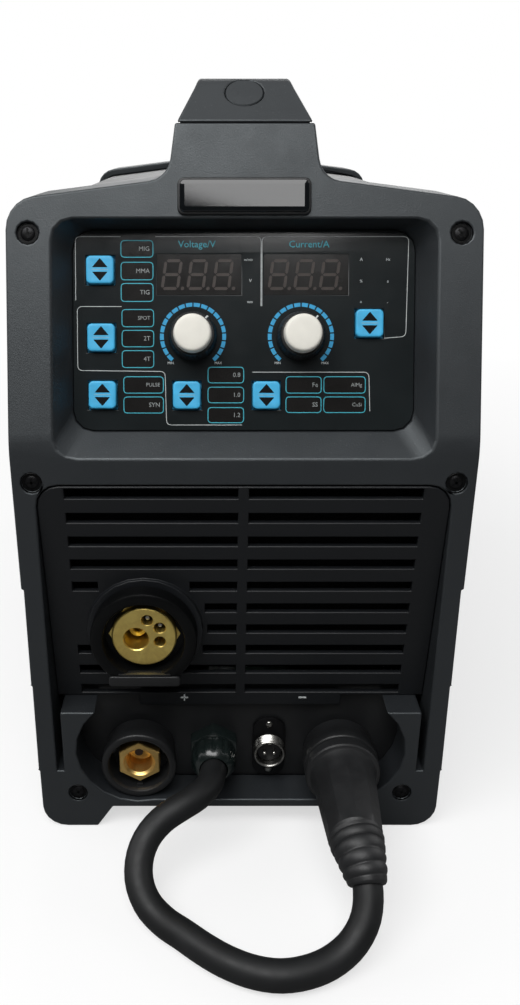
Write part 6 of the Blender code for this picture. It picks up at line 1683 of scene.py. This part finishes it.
rollLow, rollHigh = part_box("drive_roll")
zincRoll = turnedLook("zincRoll", finishes["rollSteel"],
                      (0, (rollLow.y + rollHigh.y) / 2, (rollLow.z + rollHigh.z) / 2), "X")
driveRoll()
pressureRoll()
tensionKnob()
feedMotor()
print("feeder done")

# ---- power stage
refined("power_board", boardGreen, edge=0.0002)
# the heat sink is near black: painted shade of the case's inside, seen through the slots
refined("heat_sink", heatSinkShadeBlack, edge=0.0003)


transformer = {"core": (0.046, 0.040, 0.038), "side": 0.004, "coilY": (0.009, 0.031),
               "coilZ": (0.006, 0.032)}
cansOnBoard = {"count": 3, "first": 0.018, "pitch": 0.027, "fromEdge": 0.020}


# the ferrite core with its taped winding, and the capacitors on the board
def powerParts():
    s = transformer
    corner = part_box("main_transformer")[0]
    x0, y0, z0 = corner.x + s["side"], corner.y, corner.z
    wide, deep, tall = s["core"]
    core = bar(x0, x0 + wide, y0, y0 + deep, z0, z0 + tall, 0.0010)
    finishPiece(core, "transformerCore", "case", ferriteGrey, ("main_transformer",), 34)
    coil = bar(x0 - s["side"], x0 + wide + s["side"], y0 + s["coilY"][0], y0 + s["coilY"][1],
               z0 + s["coilZ"][0], z0 + s["coilZ"][1], 0.0035, 4)
    finishPiece(coil, "transformerCoil", "case", coilTape, sharp=50)
    cans = bmesh.new()
    tops = bmesh.new()
    s = cansOnBoard
    low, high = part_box("power_board")
    for i in range(s["count"]):
        place = Matrix.Translation((low.x + s["first"] + s["pitch"] * i, high.y - s["fromEdge"], high.z))
        addTo(cans, turned([(0.0, -0.0002), (0.0118, -0.0002), (0.0120, 0.0006), (0.0120, 0.0028),
                            (0.0113, 0.0034), (0.0120, 0.0042), (0.0120, 0.0330), (0.0112, 0.0342),
                            (0.0104, 0.0342), (0.0104, 0.0336), (0.0, 0.0336)], 56), place)
        addTo(tops, turned([(0.0, 0.0330), (0.0103, 0.0330), (0.0103, 0.0338), (0.0, 0.0338)], 48),
              place)
    finishPiece(cans, "capacitors", "case", fittingBlack, sharp=34)
    finishPiece(tops, "capacitorTops", "case", aluminium, sharp=34)


powerParts()
print("power stage done")


# ---- floor, world and lamps
studio = {"floorSize": 8.0, "keyPower": 27.0, "keySize": (1.7, 0.85), "keyPlace": (-0.38, -0.96, 1.45),
          "keyAim": (0.0, -0.19, 0.22),
          "fills": (("leftFill", (-1.6, 0.15, 0.9), (1.2, 1.2), 7.5),
                    ("rightFill", (1.6, 0.25, 0.9), (1.2, 1.2), 6.5),
                    ("backFill", (0.2, 1.7, 1.1), (1.4, 1.0), 9.0)),
          "fillAim": (0, 0, 0.16), "ambient": 0.20, "frontDark": 0.02}


# paper white near the part, where shadows show, and pure white further out; dull for all other rays
def whiteFloor():
    bm = bmesh.new()
    bmesh.ops.create_grid(bm, x_segments=1, y_segments=1, size=studio["floorSize"] / 2)
    mesh = bpy.data.meshes.new("floor")
    bm.to_mesh(mesh)
    bm.free()
    floor = bpy.data.objects.new("floor", mesh)
    stage.collection.objects.link(floor)
    look = bpy.data.materials.new("floorWhite")
    look.use_nodes = True
    tree = look.node_tree
    for old in list(tree.nodes):
        tree.nodes.remove(old)
    out = tree.nodes.new("ShaderNodeOutputMaterial")
    paper = tree.nodes.new("ShaderNodeBsdfDiffuse")
    paper.inputs["Color"].default_value = (0.90, 0.90, 0.90, 1)
    glow = tree.nodes.new("ShaderNodeEmission")
    glow.inputs["Strength"].default_value = 1.0
    seen = tree.nodes.new("ShaderNodeMixShader")
    place = tree.nodes.new("ShaderNodeTexCoord")
    away = tree.nodes.new("ShaderNodeVectorMath")
    away.operation = "LENGTH"
    link(tree, place.outputs["Object"], away.inputs[0])
    link(tree, ranged(tree, away.outputs["Value"], 0.62, 1.0, 0.35, 0.95), seen.inputs[0])
    link(tree, paper.outputs[0], seen.inputs[1])
    link(tree, glow.outputs[0], seen.inputs[2])
    dull = tree.nodes.new("ShaderNodeBsdfDiffuse")
    dull.inputs["Color"].default_value = (0.20, 0.20, 0.20, 1)
    path = tree.nodes.new("ShaderNodeLightPath")
    pick = tree.nodes.new("ShaderNodeMixShader")
    link(tree, path.outputs["Is Camera Ray"], pick.inputs[0])
    link(tree, dull.outputs[0], pick.inputs[1])
    link(tree, seen.outputs[0], pick.inputs[2])
    link(tree, pick.outputs[0], out.inputs["Surface"])
    mesh.materials.append(look)


# white for the camera; in reflections white behind and above, and darker in front, as in a room
def studioWorld():
    world = bpy.data.worlds.new("studio")
    stage.world = world
    world.use_nodes = True
    tree = world.node_tree
    back = tree.nodes["Background"]
    back.inputs["Color"].default_value = (1, 1, 1, 1)
    path = tree.nodes.new("ShaderNodeLightPath")
    place = tree.nodes.new("ShaderNodeTexCoord")
    parts = tree.nodes.new("ShaderNodeSeparateXYZ")
    link(tree, place.outputs["Generated"], parts.inputs[0])
    behind = ranged(tree, parts.outputs["Y"], studio["frontDark"], 0.55, -0.35, 0.75)
    above = ranged(tree, parts.outputs["Z"], 0.0, 0.45, 0.55, 0.95)

    def mathNode(kind, first, second):
        step = tree.nodes.new("ShaderNodeMath")
        step.operation = kind
        for socketIn, value in zip(step.inputs, (first, second)):
            if isinstance(value, (int, float)):
                socketIn.default_value = value
            else:
                link(tree, value, socketIn)
        return step.outputs[0]

    room = mathNode("MAXIMUM", behind, above)
    mirrored = mathNode("MAXIMUM", path.outputs["Is Glossy Ray"], path.outputs["Is Transmission Ray"])
    shine = mathNode("MULTIPLY", mirrored, room)
    plain = mathNode("SUBTRACT", 1.0, mirrored)
    ambient = mathNode("MULTIPLY", plain, studio["ambient"])
    lit = mathNode("ADD", shine, ambient)
    link(tree, mathNode("MAXIMUM", lit, path.outputs["Is Camera Ray"]), back.inputs["Strength"])


def softLamp(name, place, size, power, aim):
    data = bpy.data.lights.new(name, "AREA")
    data.shape = "RECTANGLE"
    data.size, data.size_y = size
    data.energy = power
    lamp = bpy.data.objects.new(name, data)
    lamp.location = place
    away = Vector(aim) - Vector(place)
    lamp.rotation_euler = away.to_track_quat("-Z", "Y").to_euler()
    lamp.visible_camera = False
    stage.collection.objects.link(lamp)


whiteFloor()
studioWorld()
softLamp("keyLamp", studio["keyPlace"], studio["keySize"], studio["keyPower"], studio["keyAim"])
for lampName, lampPlace, lampSize, lampPower in studio["fills"]:
    softLamp(lampName, lampPlace, lampSize, lampPower, studio["fillAim"])
stage.view_settings.view_transform = "Standard"
print("stage set")
